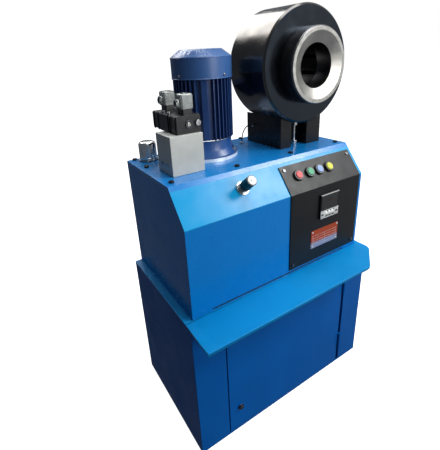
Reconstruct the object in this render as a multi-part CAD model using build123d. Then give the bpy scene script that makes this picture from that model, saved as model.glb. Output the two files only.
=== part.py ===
from build123d import *
import math
import os

# Bench-height hose crimping machine.
# Millimetres. +X is right, -Y is the operator's side, +Z is up.
# The origin is the bottom centre of the overall box, on the floor.

# ---------------------------------------------------------------- overall
DEPTH = 434.0              # tray front edge to the back walls
FIT = 0.1                  # clearance of a fixed piece in its hole
RUN = 0.05                 # radial clearance of a shaft or pin that moves
SLIP = 0.3                 # clearance between faces that pass each other
SHEET = 2.5                # cabinet, door and housing sheet

# ---------------------------------------------------------------- cabinet
CABINET_W = 620.0
CABINET_D = 355.0
CABINET_H = 417.0
CABINET_FLANGE = 22.0      # fold round the open top
FRAME_DEPTH = 18.0         # folded edges of the door and of its opening

# ---------------------------------------------------------------- tray
TRAY_SKIN = 3.0
TRAY_LIP = 9.0
TRAY_CUT_X = 86.0          # cut right front corner, along the front and the side
TRAY_CUT_Y = 66.0
TRAY_CORNER_R = 28.0       # rounding at both ends of the cut
TRAY_EDGE_R = 1.2
DRIP_GROOVE_W = 4.0        # drip groove along the housing's foot
DRIP_GROOVE_DEPTH = 1.0

# ---------------------------------------------------------------- door
DOOR_LEFT = -217.0
DOOR_W = 432.0
DOOR_BOTTOM = 9.0
DOOR_H = 389.0
DOOR_GAP = 3.0
HINGE_GAP = 10.0
HINGE_R = 5.0
HINGE_PIN_R = 3.0
HINGE_PROUD = 2.0          # hinge axis in front of the door face
KNUCKLE_H = 30.0
HINGE_BASES = (50.0, 270.0)    # knuckle feet above the door's bottom edge
HINGE_LEAF_T = 2.5
HINGE_LEAF_D = 14.0

# ---------------------------------------------------------------- door lock
LOCK_INSET = 35.0          # from the door's left edge
LOCK_RISE = 75.0           # above the door's bottom edge
LOCK_FLANGE_R = 9.5
LOCK_FLANGE_T = 2.0
LOCK_BARREL_R = 8.0
LOCK_NUT_R = 12.5
LOCK_NUT_T = 4.0
LOCK_SPINDLE_R = 5.0
LOCK_KNOB_R = 7.0
LOCK_KNOB_T = 4.0
CAM_LENGTH = 44.0
CAM_W = 14.0
CAM_T = 3.0

# ---------------------------------------------------------------- housing
HOUSING_W = 580.0
HOUSING_D = 328.0
BREAK_H = 235.0            # upright part of the front, above the tray
HOUSING_H = 315.0          # tray to the top of the top plate
SLOPE_RUN = 65.0
PLATE_T = 10.0
HOUSING_FLANGE = 28.0
FRONT_FLANGE = 42.0        # wider fold behind the slope
BACK_FLANGE = 14.0
SLOT_LEFT = -235.0
SLOT_RIGHT = 233.0
SLOT_H = 8.0

# ---------------------------------------------------------------- top plate screws
EDGE_SCREW_R = 4.0
EDGE_SCREW_HEAD_R = 6.5
EDGE_SCREW_HEAD_T = 4.0
EDGE_INSET_X = 20.0
EDGE_INSET_FRONT = 30.0
EDGE_INSET_BACK = 7.5

# ---------------------------------------------------------------- oil tank
TANK_LEFT = -258.0
TANK_W = 268.0
TANK_FRONT = -6.0
TANK_D = 207.0
TANK_WALL = 3.0

# ---------------------------------------------------------------- control panel
PANEL_LEFT = 12.0
PANEL_W = 266.0
PANEL_FOOT = 15.0          # above the tray
PANEL_UP_SLOPE = 80.0
PANEL_T = 3.0
BAY_MARGIN = 20.0          # panel overlap round the opening behind it
PANEL_SCREW_INSET = 12.0
PANEL_SCREW_R = 2.5
PANEL_SCREW_HEAD_R = 4.5
PANEL_SCREW_HEAD_T = 2.4

# ---------------------------------------------------------------- buttons
BUTTON_XS = (60.0, 102.0, 137.0, 175.0)
BUTTON_NAMES = ("button_red", "button_green", "button_blue", "button_yellow")
BUTTON_UP_SLOPE = 45.5
BEZEL_R = 14.0
BEZEL_T = 5.0
BEZEL_BARREL_R = 11.0
BEZEL_BARREL_L = 12.0
CAP_R = 10.5
CAP_PROUD = 4.0
STEM_R = 4.0
BUTTON_STROKE = 4.0
CONTACT_W = 28.0
CONTACT_L = 40.0

# ---------------------------------------------------------------- preset counter
COUNTER_X = 151.0
COUNTER_RISE = 161.0       # centre above the panel's foot
COUNTER_W = 72.0
COUNTER_BEZEL_T = 6.0
COUNTER_BODY_W = 66.0
COUNTER_BODY_D = 46.0
WINDOW_MARGIN = 4.0
WINDOW_H = 38.0
WINDOW_T = 1.5
WHEEL_COUNT = 3
WHEEL_R = 9.0
WHEEL_T = 8.0
WHEEL_FACES = 10
WHEEL_PITCH = 12.0
WHEEL_DROP = 23.0          # wheel axis below the counter's centre
WHEEL_PROUD = 1.5
AXLE_R = 1.5

# ---------------------------------------------------------------- rating plate
RATING_X = 143.0
RATING_RISE = 67.0         # centre above the panel's foot
RATING_W = 108.0
RATING_H = 55.0
RATING_T = 1.0
RIVET_R = 2.6
RIVET_T = 1.2
RIVET_INSET = 5.0

# ---------------------------------------------------------------- control gear
BACKPLATE_T = 3.0
BACKPLATE_W = 230.0
BACKPLATE_H = 170.0
BACKPLATE_X = 145.0
BACKPLATE_SETBACK = 129.0  # behind the housing's front
BACKPLATE_FOOT = 25.0
GEAR_INSET = 16.0
CONTACTOR_W = 45.0
CONTACTOR_D = 78.0
CONTACTOR_H = 76.0
OVERLOAD_D = 70.0
OVERLOAD_H = 72.0
TRANSFORMER_W = 80.0
TRANSFORMER_D = 62.0
TRANSFORMER_H = 80.0
GEAR_GAP = 7.0
TERMINAL_L = 134.0
TERMINAL_D = 42.0
TERMINAL_H = 34.0
TERMINAL_RISE = 20.0
CONTACTOR_RISE = 112.0

# ---------------------------------------------------------------- adjuster
ADJUSTER_X = -113.0
ADJUSTER_UP_SLOPE = 55.0
ADJUSTER_FLANGE_R = 17.0
ADJUSTER_FLANGE_T = 3.0
ADJUSTER_NECK_R = 9.0
ADJUSTER_NECK_L = 14.0
KNOB_R = 13.0
KNOB_L = 35.0
KNOB_FLUTES = 10
DISC_R = 11.0
DISC_T = 2.5

# ---------------------------------------------------------------- motor and pump
MOTOR_X = -89.0
MOTOR_Y = 125.0
FLANGE_R = 87.0
FLANGE_T = 12.0
SPIGOT_R = 54.0
SHOULDER_R = 83.0          # foot of the end shield's cone
SHOULDER_H = 18.0
MOTOR_NECK_R = 71.0
MOTOR_NECK_H = 42.0
BOLT_POCKET_R = 10.0
FLANGE_BOLT_R = 5.0
FLANGE_BOLT_HEAD_R = 9.0
FLANGE_BOLT_HEAD_T = 8.0
FRAME_CORE_R = 66.0
FRAME_H = 152.0
FIN_R = 76.5
FIN_T = 2.6
FIN_STEP = 9.0             # degrees between fins
PAD_W = 16.0
PAD_R = 73.0
FRONT_PAD_ANGLE = -117.0
BORE_R = 42.0
COWL_R = 78.5
COWL_T = 2.0
COWL_H = 52.0
COWL_CROWN_H = 18.0
COWL_CROWN_R = 54.0
COWL_SLOTS = 12
COWL_SLOT_W = 5.0
COWL_SLOT_START = 14.0
SHAFT_R = 12.0
ROTOR_R = 41.5
ROTOR_H = 120.0
FAN_R = 70.0
FAN_HUB_R = 20.0
FAN_BLADES = 7
FAN_H = 20.0
FLANGE_BOLTS = 4
FLANGE_PCD_R = 75.0
BOX_ANGLE = 35.0           # terminal box direction, from +X
BOX_W = 62.0
BOX_H = 74.0
BOX_REACH = 105.0
BELL_R = 60.0
BELL_BORE_R = 46.0
BELL_H = 88.0
COUPLING_R = 26.0
COUPLING_H = 44.0
PUMP_W = 88.0
PUMP_D = 92.0
PUMP_H = 96.0
STRAINER_R = 24.0
STRAINER_H = 62.0
PIPE_R = 8.0
PIPE_GAP = 20.0            # each pipe off the block's middle
RETURN_CLEAR = 60.0        # return pipe's end above the tank floor

# ---------------------------------------------------------------- breather
BREATHER_X = -238.0
BREATHER_Y = 187.0
NECK_R = 14.0
BREATHER_FLANGE_R = 27.0
BREATHER_FLANGE_T = 4.0
BREATHER_NECK_H = 14.0
BREATHER_CAP_R = 23.5
BREATHER_CAP_H = 48.0
BREATHER_SLOTS = 12
BREATHER_SLOT_W = 5.0
BREATHER_SLOT_H = 22.0
BREATHER_SLOT_DEPTH = 2.0

# ---------------------------------------------------------------- valve set
BLOCK_LEFT = -252.0
BLOCK_W = 86.0
BLOCK_FRONT = 3.0
BLOCK_D = 80.0
BLOCK_H = 94.0
VALVE_LEFT = -230.0
VALVE_W = 66.0
VALVE_FRONT = 11.0
COIL_L = 44.0
VALVE_L = 48.0
VALVE_H = 42.0
VALVE_SCREW_R = 2.5
SPOOL_R = 8.0
SPOOL_LANDS = 3
SPOOL_STROKE = 3.0
CONNECTOR_W = 30.0
CONNECTOR_BASE_H = 13.0
CONNECTOR_H = 34.0
CONNECTOR_X = -193.0
PLUG_X = -174.0
PLUG_R = 6.5
PLUG_T = 4.0

# ---------------------------------------------------------------- crimping head
HEAD_X = 172.0
HEAD_RISE = 222.0          # axis above the top plate
HEAD_R = 153.0
HEAD_SETBACK = 116.0       # behind the housing's front
HEAD_L = 148.0
HEAD_CHAMFER = 5.0
FRONT_WALL = 20.0
CYLINDER_R = 133.0
NOSE_R = 98.0
NOSE_L = 43.0
NOSE_CHAMFER = 3.0
THROAT_R = 57.0
THROAT_CONE_R = 85.0
THROAT_CONE_L = 12.0
COVER_T = 18.0
COVER_FLANGE_T = 6.0
COVER_BORE_R = 62.0
SLEEVE_R = 73.0
SLEEVE_L = 22.0
JAW_COUNT = 8
JAW_OPEN_R = 58.6
JAW_GAP = 1.0              # between neighbours when closed
CONE_ANGLE = 15.0          # half angle of the closing cone
CONE_REAR_R = 82.0         # cone radius at the jaws' rear face
PISTON_STROKE = 52.0
PISTON_L = 55.5
SEAL_W = 6.0
SEAL_DEPTH = 4.0
GUIDE_PIN_R = 4.0
GUIDE_PIN_REACH = 18.0
GUIDE_PIN_OUT = 56.0       # pin distance from the axis when closed
COVER_BOLTS = 6
COVER_BOLT_PCD_R = 143.0
COVER_BOLT_R = 4.0

# ---------------------------------------------------------------- saddle
SADDLE_LEFT = 94.0
SADDLE_W = 156.0
SADDLE_SETBACK = 16.0      # behind the head's front
SADDLE_D = 155.0
SADDLE_RECESS = 38.0
SADDLE_LEG_LEFT_W = 40.0
SADDLE_LEG_RIGHT_W = 55.0
SADDLE_BOLT_R = 6.0
SUPPORT_T = 10.0
TUBE_X = 167.0
TUBE_SETBACK = 40.0        # behind the head's front
TUBE_R = 4.0
TUBE_NUT_R = 9.0
TUBE_NUT_H = 12.0

# ---------------------------------------------------------------- cable inlet
GLAND_X = 230.0
GLAND_RISE = 50.0          # above the tray
GLAND_R = 14.0

# ---------------------------------------------------------------- worked out
BACK = DEPTH / 2
TRAY_FRONT = -DEPTH / 2
CABINET_FRONT = BACK - CABINET_D
HOUSING_FRONT = BACK - HOUSING_D
TRAY_TOP = CABINET_H + TRAY_SKIN
BREAK_Z = TRAY_TOP + BREAK_H
PLATE_TOP = TRAY_TOP + HOUSING_H
PLATE_UNDER = PLATE_TOP - PLATE_T
SLOPE_ANGLE = math.degrees(math.atan2(SLOPE_RUN, PLATE_TOP - BREAK_Z))
SLOPE_TOP_Y = HOUSING_FRONT + SLOPE_RUN
SLOPE_UNDER_Y = SLOPE_TOP_Y - PLATE_T * math.tan(math.radians(SLOPE_ANGLE))
DOOR_RIGHT = DOOR_LEFT + DOOR_W
DOOR_TOP = DOOR_BOTTOM + DOOR_H
OPENING_LEFT = DOOR_LEFT - DOOR_GAP
OPENING_RIGHT = DOOR_RIGHT + HINGE_GAP
HINGE_X = DOOR_RIGHT + HINGE_GAP / 2
HINGE_Y = CABINET_FRONT - HINGE_PROUD
LOCK_X = DOOR_LEFT + LOCK_INSET
LOCK_Z = DOOR_BOTTOM + LOCK_RISE
CONE_SLOPE = math.tan(math.radians(CONE_ANGLE))
JAW_STROKE = PISTON_STROKE * CONE_SLOPE
HEAD_FRONT = HOUSING_FRONT + HEAD_SETBACK
SADDLE_FRONT = HEAD_FRONT + SADDLE_SETBACK
SADDLE_BACK = SADDLE_FRONT + SADDLE_D
TUBE_Y = HEAD_FRONT + TUBE_SETBACK
JAW_FRONT = HEAD_FRONT + FRONT_WALL + SLIP
HEAD_BACK = HEAD_FRONT + HEAD_L
COVER_FRONT = HEAD_BACK - COVER_T
JAW_BACK = COVER_FRONT - SLEEVE_L - SLIP
MOTOR_SEAT = PLATE_TOP + FLANGE_T
FRAME_FOOT = MOTOR_SEAT + MOTOR_NECK_H
COWL_FOOT = FRAME_FOOT + FRAME_H
PANEL_Z = TRAY_TOP + PANEL_FOOT
COUNTER_Z = PANEL_Z + COUNTER_RISE
RATING_Z = PANEL_Z + RATING_RISE
GLAND_Z = TRAY_TOP + GLAND_RISE
HEAD_Z = PLATE_TOP + HEAD_RISE
VALVE_FOOT = PLATE_TOP + BLOCK_H
VALVE_X = VALVE_LEFT + VALVE_W / 2
VALVE_BODY_FRONT = VALVE_FRONT + COIL_L
COIL_FRONTS = (VALVE_FRONT, VALVE_BODY_FRONT + VALVE_L)

UP = (Align.CENTER, Align.CENTER, Align.MIN)
SLOPE = Plane(
    origin=(0, HOUSING_FRONT, BREAK_Z),
    x_dir=(1, 0, 0),
    z_dir=(0, -math.cos(math.radians(SLOPE_ANGLE)), math.sin(math.radians(SLOPE_ANGLE))),
).location


# ---------------------------------------------------------------- helpers
def span_box(x0, x1, y0, y1, z0, z1):
    """Box between two corners."""
    return Pos(x0, y0, z0) * Box(x1 - x0, y1 - y0, z1 - z0, align=(Align.MIN, Align.MIN, Align.MIN))


def rod(place, radius, length):
    """Cylinder that starts at a place and runs along its Z."""
    return place * Cylinder(radius, length, align=UP)


def ring(place, outer, inner, length):
    """Tube that starts at a place and runs along its Z."""
    hole = Pos(0, 0, -1) * Cylinder(inner, length + 2, align=UP)
    return place * (Cylinder(outer, length, align=UP) - hole)


def hexagon(place, radius, length):
    """Hexagonal bar, with its corner radius."""
    return place * extrude(RegularPolygon(radius, 6), length)


def turned(points, place):
    """Solid of revolution from (radius, height) points, stood on a place."""
    outline = make_face(Polyline([(r, 0, h) for r, h in points], close=True))
    return place * revolve(outline, Axis.Z, 360)


def along_y(x, y, z):
    """Place whose Z runs along +Y."""
    return Pos(x, y, z) * Rot(-90, 0, 0)


def yz_bar(points, x0, length):
    """Bar of a (y, z) outline that runs from x0 along +X."""
    outline = Plane.YZ * make_face(Polyline(points, close=True))
    return Pos(x0, 0, 0) * extrude(outline, length)


def cone_radius(y):
    """Radius of the closing cone at rest, at a distance along the head."""
    return CONE_REAR_R + (JAW_BACK - y) * CONE_SLOPE


def group(solids):
    """Separate solids kept in one node."""
    return Compound(children=list(solids))


# ---------------------------------------------------------------- cabinet
def make_base_cabinet():
    half = CABINET_W / 2
    shell = span_box(-half, half, CABINET_FRONT, BACK, 0, CABINET_H)
    shell -= span_box(-half + SHEET, half - SHEET, CABINET_FRONT + SHEET, BACK - SHEET,
                      SHEET, CABINET_H - SHEET)
    shell -= span_box(-half + CABINET_FLANGE, half - CABINET_FLANGE,
                      CABINET_FRONT + CABINET_FLANGE, BACK - CABINET_FLANGE,
                      CABINET_H - 2 * SHEET, CABINET_H + 1)
    low = DOOR_BOTTOM - DOOR_GAP
    high = DOOR_TOP + DOOR_GAP
    shell -= span_box(OPENING_LEFT, OPENING_RIGHT, CABINET_FRONT - 1, CABINET_FRONT + 2 * SHEET,
                      low, high)
    for edge in (OPENING_LEFT - SHEET, OPENING_RIGHT):
        shell += span_box(edge, edge + SHEET, CABINET_FRONT, CABINET_FRONT + FRAME_DEPTH, low, high)
    return shell


def tray_outline(inset, bottom, height):
    """Tray slab with its cut and rounded right front corner, drawn in by an inset."""
    half = CABINET_W / 2 - inset
    front = TRAY_FRONT + inset
    slant = math.hypot(TRAY_CUT_X, TRAY_CUT_Y)
    cut_x = TRAY_CUT_X + inset * ((slant - TRAY_CUT_X) / TRAY_CUT_Y - 1)
    cut_y = TRAY_CUT_Y + inset * ((slant - TRAY_CUT_Y) / TRAY_CUT_X - 1)
    plan = make_face(Polyline([(-half, front), (half - cut_x, front), (half, front + cut_y),
                               (half, BACK - inset), (-half, BACK - inset)], close=True))
    slab = Pos(0, 0, bottom) * extrude(plan, height)
    corners = slab.edges().filter_by(Axis.Z).filter_by(
        lambda e: (e.center().X > 0) and (e.center().Y < 0))
    return fillet(corners, TRAY_CORNER_R - inset)


def make_tool_tray():
    tray = tray_outline(0, TRAY_TOP - TRAY_LIP, TRAY_LIP)
    tray -= tray_outline(TRAY_SKIN, TRAY_TOP - TRAY_LIP - 1, TRAY_LIP - TRAY_SKIN + 1)
    tray -= span_box(-CABINET_W, CABINET_W, CABINET_FRONT, BACK + 1, TRAY_TOP - TRAY_LIP - 1, CABINET_H)
    rim = tray.faces().sort_by(Axis.Z)[-1].edges().filter_by(lambda e: e.center().Y < CABINET_FRONT)
    tray = chamfer(rim, TRAY_EDGE_R)
    return tray - span_box(-CABINET_W, CABINET_W, HOUSING_FRONT - DRIP_GROOVE_W, HOUSING_FRONT,
                           TRAY_TOP - DRIP_GROOVE_DEPTH, TRAY_TOP + 1)


def make_cabinet_door():
    back = CABINET_FRONT + FRAME_DEPTH
    door = span_box(DOOR_LEFT, DOOR_RIGHT, CABINET_FRONT, back, DOOR_BOTTOM, DOOR_TOP)
    door -= span_box(DOOR_LEFT + SHEET, DOOR_RIGHT - SHEET, CABINET_FRONT + SHEET, back + 1,
                     DOOR_BOTTOM + SHEET, DOOR_TOP - SHEET)
    door -= rod(along_y(LOCK_X, CABINET_FRONT - 1, LOCK_Z), LOCK_BARREL_R + FIT, SHEET + 2)
    return door


def make_hinge_knuckles():
    frame_side = []
    door_side = []
    leaf_front = HINGE_Y + HINGE_R / 2
    for base in HINGE_BASES:
        low = DOOR_BOTTOM + base
        knuckle = rod(Pos(HINGE_X, HINGE_Y, low), HINGE_R, KNUCKLE_H)
        knuckle += span_box(OPENING_RIGHT - HINGE_LEAF_T, OPENING_RIGHT, leaf_front,
                            leaf_front + HINGE_LEAF_D, low, low + KNUCKLE_H)
        knuckle += rod(Pos(HINGE_X, HINGE_Y, low), HINGE_PIN_R, 2 * KNUCKLE_H - 5)
        frame_side.append(knuckle)
        high = low + KNUCKLE_H + SLIP
        cap = rod(Pos(HINGE_X, HINGE_Y, high), HINGE_R, KNUCKLE_H)
        cap += span_box(DOOR_RIGHT, DOOR_RIGHT + HINGE_LEAF_T, leaf_front,
                        leaf_front + HINGE_LEAF_D, high, high + KNUCKLE_H)
        cap -= rod(Pos(HINGE_X, HINGE_Y, high - 1), HINGE_PIN_R + RUN, KNUCKLE_H - 3)
        door_side.append(cap)
    return group(frame_side), door_side


def make_lock_case():
    barrel_l = FRAME_DEPTH
    case = rod(along_y(LOCK_X, CABINET_FRONT - LOCK_FLANGE_T, LOCK_Z), LOCK_FLANGE_R, LOCK_FLANGE_T)
    case += rod(along_y(LOCK_X, CABINET_FRONT, LOCK_Z), LOCK_BARREL_R, barrel_l)
    case -= rod(along_y(LOCK_X, CABINET_FRONT - LOCK_FLANGE_T - 1, LOCK_Z), LOCK_SPINDLE_R + RUN,
                barrel_l + LOCK_FLANGE_T + 2)
    nut = hexagon(along_y(LOCK_X, CABINET_FRONT + SHEET, LOCK_Z), LOCK_NUT_R, LOCK_NUT_T)
    nut -= rod(along_y(LOCK_X, CABINET_FRONT, LOCK_Z), LOCK_BARREL_R + FIT, LOCK_NUT_T + 2 * SHEET)
    return [case, nut]


def make_lock_cam():
    face = CABINET_FRONT - LOCK_FLANGE_T - SLIP
    cam_y = CABINET_FRONT + FRAME_DEPTH + SLIP
    knob = rod(along_y(LOCK_X, face - LOCK_KNOB_T, LOCK_Z), LOCK_KNOB_R, LOCK_KNOB_T)
    knob -= span_box(LOCK_X - 1, LOCK_X + 1, face - LOCK_KNOB_T - 1, face - LOCK_KNOB_T + 1.5,
                     LOCK_Z - LOCK_KNOB_R * 0.7, LOCK_Z + LOCK_KNOB_R * 0.7)
    knob += rod(along_y(LOCK_X, face, LOCK_Z), LOCK_SPINDLE_R, cam_y - face + CAM_T + 2)
    arm = span_box(LOCK_X - CAM_W / 2, LOCK_X + CAM_W / 2, cam_y, cam_y + CAM_T,
                   LOCK_Z - CAM_W / 2, LOCK_Z + CAM_LENGTH)
    tips = arm.edges().filter_by(Axis.Y)
    return knob + fillet(tips, CAM_W * 0.35)


# ---------------------------------------------------------------- housing
def housing_outline(inset):
    """Housing side profile, drawn in by an inset."""
    low = TRAY_TOP + inset
    high = PLATE_UNDER - inset
    corner_z = BREAK_Z - inset * math.tan(math.radians(SLOPE_ANGLE / 2))
    front = HOUSING_FRONT + inset
    top_y = front + (high - corner_z) * math.tan(math.radians(SLOPE_ANGLE))
    return [(front, low), (front, corner_z), (top_y, high), (BACK - inset, high), (BACK - inset, low)]


def make_tank_housing():
    half = HOUSING_W / 2
    shell = yz_bar(housing_outline(0), -half, HOUSING_W)
    shell -= yz_bar(housing_outline(SHEET), -half + SHEET, HOUSING_W - 2 * SHEET)
    hole_x = half - HOUSING_FLANGE
    shell -= span_box(-hole_x, hole_x, SLOPE_UNDER_Y + FRONT_FLANGE, BACK - BACK_FLANGE,
                      PLATE_UNDER - 2 * SHEET, PLATE_UNDER + 1)
    shell -= span_box(-hole_x, hole_x, HOUSING_FRONT + HOUSING_FLANGE, BACK - BACK_FLANGE,
                      TRAY_TOP - 1, TRAY_TOP + 2 * SHEET)
    shell -= span_box(SLOT_LEFT, SLOT_RIGHT, HOUSING_FRONT - 1, HOUSING_FRONT + SHEET + 1,
                      TRAY_TOP + SHEET, TRAY_TOP + SLOT_H)
    shell -= span_box(PANEL_LEFT + BAY_MARGIN, PANEL_LEFT + PANEL_W - BAY_MARGIN,
                      HOUSING_FRONT - 1, HOUSING_FRONT + SHEET + 1,
                      PANEL_Z + BAY_MARGIN, BREAK_Z - BAY_MARGIN / 2)
    for x in BUTTON_XS:
        shell -= rod(SLOPE * Pos(x, BUTTON_UP_SLOPE, -2 * SHEET), BEZEL_BARREL_R + FIT, 3 * SHEET)
    shell -= rod(SLOPE * Pos(ADJUSTER_X, ADJUSTER_UP_SLOPE, -2 * SHEET), ADJUSTER_NECK_R + FIT, 3 * SHEET)
    shell -= rod(along_y(GLAND_X, BACK - SHEET - 1, GLAND_Z), GLAND_R * 0.7, SHEET + 2)
    for x, y in edge_screw_places():
        shell -= rod(Pos(x, y, PLATE_UNDER - SHEET - 1), EDGE_SCREW_R + FIT, SHEET + 2)
    return shell


def edge_screw_places():
    """Screws along the front, the sides and the back of the top plate."""
    outer = HOUSING_W / 2 - EDGE_INSET_X
    front = SLOPE_UNDER_Y + EDGE_INSET_FRONT
    back = BACK - EDGE_INSET_BACK
    middle = (front + back) / 2 + EDGE_INSET_FRONT
    places = [(x, front) for x in (-outer, -outer / 3, outer / 3, outer)]
    places += [(x, back) for x in (-outer, outer / 3, outer)]
    places += [(-outer, middle), (outer, middle)]
    return places


def make_top_plate():
    plate = yz_bar([(SLOPE_UNDER_Y, PLATE_UNDER), (SLOPE_TOP_Y, PLATE_TOP), (BACK, PLATE_TOP),
                    (BACK, PLATE_UNDER)], -HOUSING_W / 2, HOUSING_W)
    below = PLATE_UNDER - 1
    deep = PLATE_T + 2
    plate -= rod(Pos(MOTOR_X, MOTOR_Y, below), SPIGOT_R + FIT, deep)
    plate -= rod(Pos(BREATHER_X, BREATHER_Y, below), NECK_R + FIT, deep)
    plate -= rod(Pos(TUBE_X, TUBE_Y, below), TUBE_R + FIT, deep)
    for x, y in edge_screw_places():
        plate -= rod(Pos(x, y, below), EDGE_SCREW_R + FIT, deep)
    return plate


def make_top_plate_screws():
    screws = []
    for x, y in edge_screw_places():
        screw = rod(Pos(x, y, PLATE_TOP), EDGE_SCREW_HEAD_R, EDGE_SCREW_HEAD_T)
        screw += rod(Pos(x, y, PLATE_UNDER - SHEET), EDGE_SCREW_R, PLATE_T + SHEET)
        screws.append(screw)
    return group(screws)


def make_oil_tank():
    right = TANK_LEFT + TANK_W
    back = TANK_FRONT + TANK_D
    tank = span_box(TANK_LEFT, right, TANK_FRONT, back, TRAY_TOP, PLATE_UNDER)
    tank -= span_box(TANK_LEFT + TANK_WALL, right - TANK_WALL, TANK_FRONT + TANK_WALL,
                     back - TANK_WALL, TRAY_TOP + TANK_WALL, PLATE_UNDER + 1)
    return tank


def make_head_support():
    """Welded legs that carry the crimping head from the tray to the top plate."""
    low = TRAY_TOP
    front = SADDLE_FRONT
    legs = span_box(SADDLE_LEFT, SADDLE_LEFT + SUPPORT_T, front, SADDLE_BACK, low, PLATE_UNDER)
    right = SADDLE_LEFT + SADDLE_W
    legs += span_box(right - SUPPORT_T, right, front, SADDLE_BACK, low, PLATE_UNDER)
    middle = (front + SADDLE_BACK) / 2
    legs += span_box(SADDLE_LEFT, right, middle, middle + SUPPORT_T, low, PLATE_UNDER)
    return legs


def make_cable_gland():
    wall = BACK - SHEET
    hex_t = 8.0
    gland = hexagon(along_y(GLAND_X, wall - hex_t, GLAND_Z), GLAND_R, hex_t)
    gland += rod(along_y(GLAND_X, wall, GLAND_Z), GLAND_R * 0.7 - FIT, SHEET)
    gland -= rod(along_y(GLAND_X, wall - hex_t - 1, GLAND_Z), GLAND_R * 0.45, hex_t + SHEET + 2)
    return gland


# ---------------------------------------------------------------- control panel
def panel_outline():
    """Bent strip that lies on the upright front and on the slope."""
    half_turn = math.radians(SLOPE_ANGLE / 2)
    turn = math.radians(SLOPE_ANGLE)
    top_y = HOUSING_FRONT + PANEL_UP_SLOPE * math.sin(turn)
    top_z = BREAK_Z + PANEL_UP_SLOPE * math.cos(turn)
    out_y = -PANEL_T * math.cos(turn)
    out_z = PANEL_T * math.sin(turn)
    return [
        (HOUSING_FRONT, PANEL_Z),
        (HOUSING_FRONT, BREAK_Z),
        (top_y, top_z),
        (top_y + out_y, top_z + out_z),
        (HOUSING_FRONT - PANEL_T, BREAK_Z + PANEL_T * math.tan(half_turn)),
        (HOUSING_FRONT - PANEL_T, PANEL_Z),
    ]


def panel_screw_places():
    """Places on the panel's face: two on the slope and two on the upright foot."""
    xs = (PANEL_LEFT + PANEL_SCREW_INSET, PANEL_LEFT + PANEL_W - PANEL_SCREW_INSET)
    slope = [SLOPE * Pos(x, PANEL_UP_SLOPE - PANEL_SCREW_INSET, PANEL_T) for x in xs]
    face = HOUSING_FRONT - PANEL_T
    foot = [Pos(x, face, PANEL_Z + PANEL_SCREW_INSET) * Rot(90, 0, 0) for x in xs]
    return slope + foot


def make_control_panel():
    panel = yz_bar(panel_outline(), PANEL_LEFT, PANEL_W)
    for x in BUTTON_XS:
        panel -= rod(SLOPE * Pos(x, BUTTON_UP_SLOPE, -1), BEZEL_BARREL_R + FIT, PANEL_T + 2)
    half = COUNTER_BODY_W / 2 + FIT
    panel -= span_box(COUNTER_X - half, COUNTER_X + half, HOUSING_FRONT - PANEL_T - 1, HOUSING_FRONT + 1,
                      COUNTER_Z - half, COUNTER_Z + half)
    for place in panel_screw_places():
        panel -= place * Pos(0, 0, -PANEL_T - 1) * Cylinder(PANEL_SCREW_R + FIT, PANEL_T + 2, align=UP)
    return panel


def make_panel_screws():
    screws = []
    for place in panel_screw_places():
        head = rod(place, PANEL_SCREW_HEAD_R, PANEL_SCREW_HEAD_T)
        screws.append(head + rod(place * Pos(0, 0, -PANEL_T), PANEL_SCREW_R, PANEL_T))
    return group(screws)


def make_button(x):
    """Push cap on a stem; its rim stays clear inside the bezel."""
    cap = rod(SLOPE * Pos(x, BUTTON_UP_SLOPE, PANEL_T + SLIP), CAP_R - SLIP, BEZEL_T + CAP_PROUD - SLIP)
    rim = cap.edges().filter_by(GeomType.CIRCLE).sort_by(Axis.Z)[-1]
    cap = chamfer(rim, 1.0)
    return cap + rod(SLOPE * Pos(x, BUTTON_UP_SLOPE, -BEZEL_BARREL_L + 1), STEM_R, BEZEL_BARREL_L + 4)


def make_button_bodies():
    """Bezel, threaded barrel and contact block of each button."""
    floor_h = 1.0 - BUTTON_STROKE
    solids = []
    for x in BUTTON_XS:
        place = SLOPE * Pos(x, BUTTON_UP_SLOPE, PANEL_T)
        body = rod(place, BEZEL_R, BEZEL_T)
        body -= rod(place * Pos(0, 0, floor_h - SLIP), CAP_R, BEZEL_T + BUTTON_STROKE + 2)
        barrel = rod(place * Pos(0, 0, -BEZEL_BARREL_L), BEZEL_BARREL_R, BEZEL_BARREL_L)
        barrel -= rod(place * Pos(0, 0, floor_h - SLIP - BUTTON_STROKE), CAP_R, BEZEL_T + 2 * BUTTON_STROKE)
        body += barrel
        body -= rod(place * Pos(0, 0, -BEZEL_BARREL_L - 1), STEM_R + RUN, BEZEL_BARREL_L + 2)
        block = place * Pos(0, 0, -BEZEL_BARREL_L - CONTACT_L) * Box(CONTACT_W, CONTACT_W, CONTACT_L,
                                                                     align=UP)
        block -= rod(place * Pos(0, 0, -BEZEL_BARREL_L - BUTTON_STROKE - 6), STEM_R + RUN, BUTTON_STROKE + 7)
        solids.append(body)
        solids.append(block)
    return group(solids)


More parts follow.
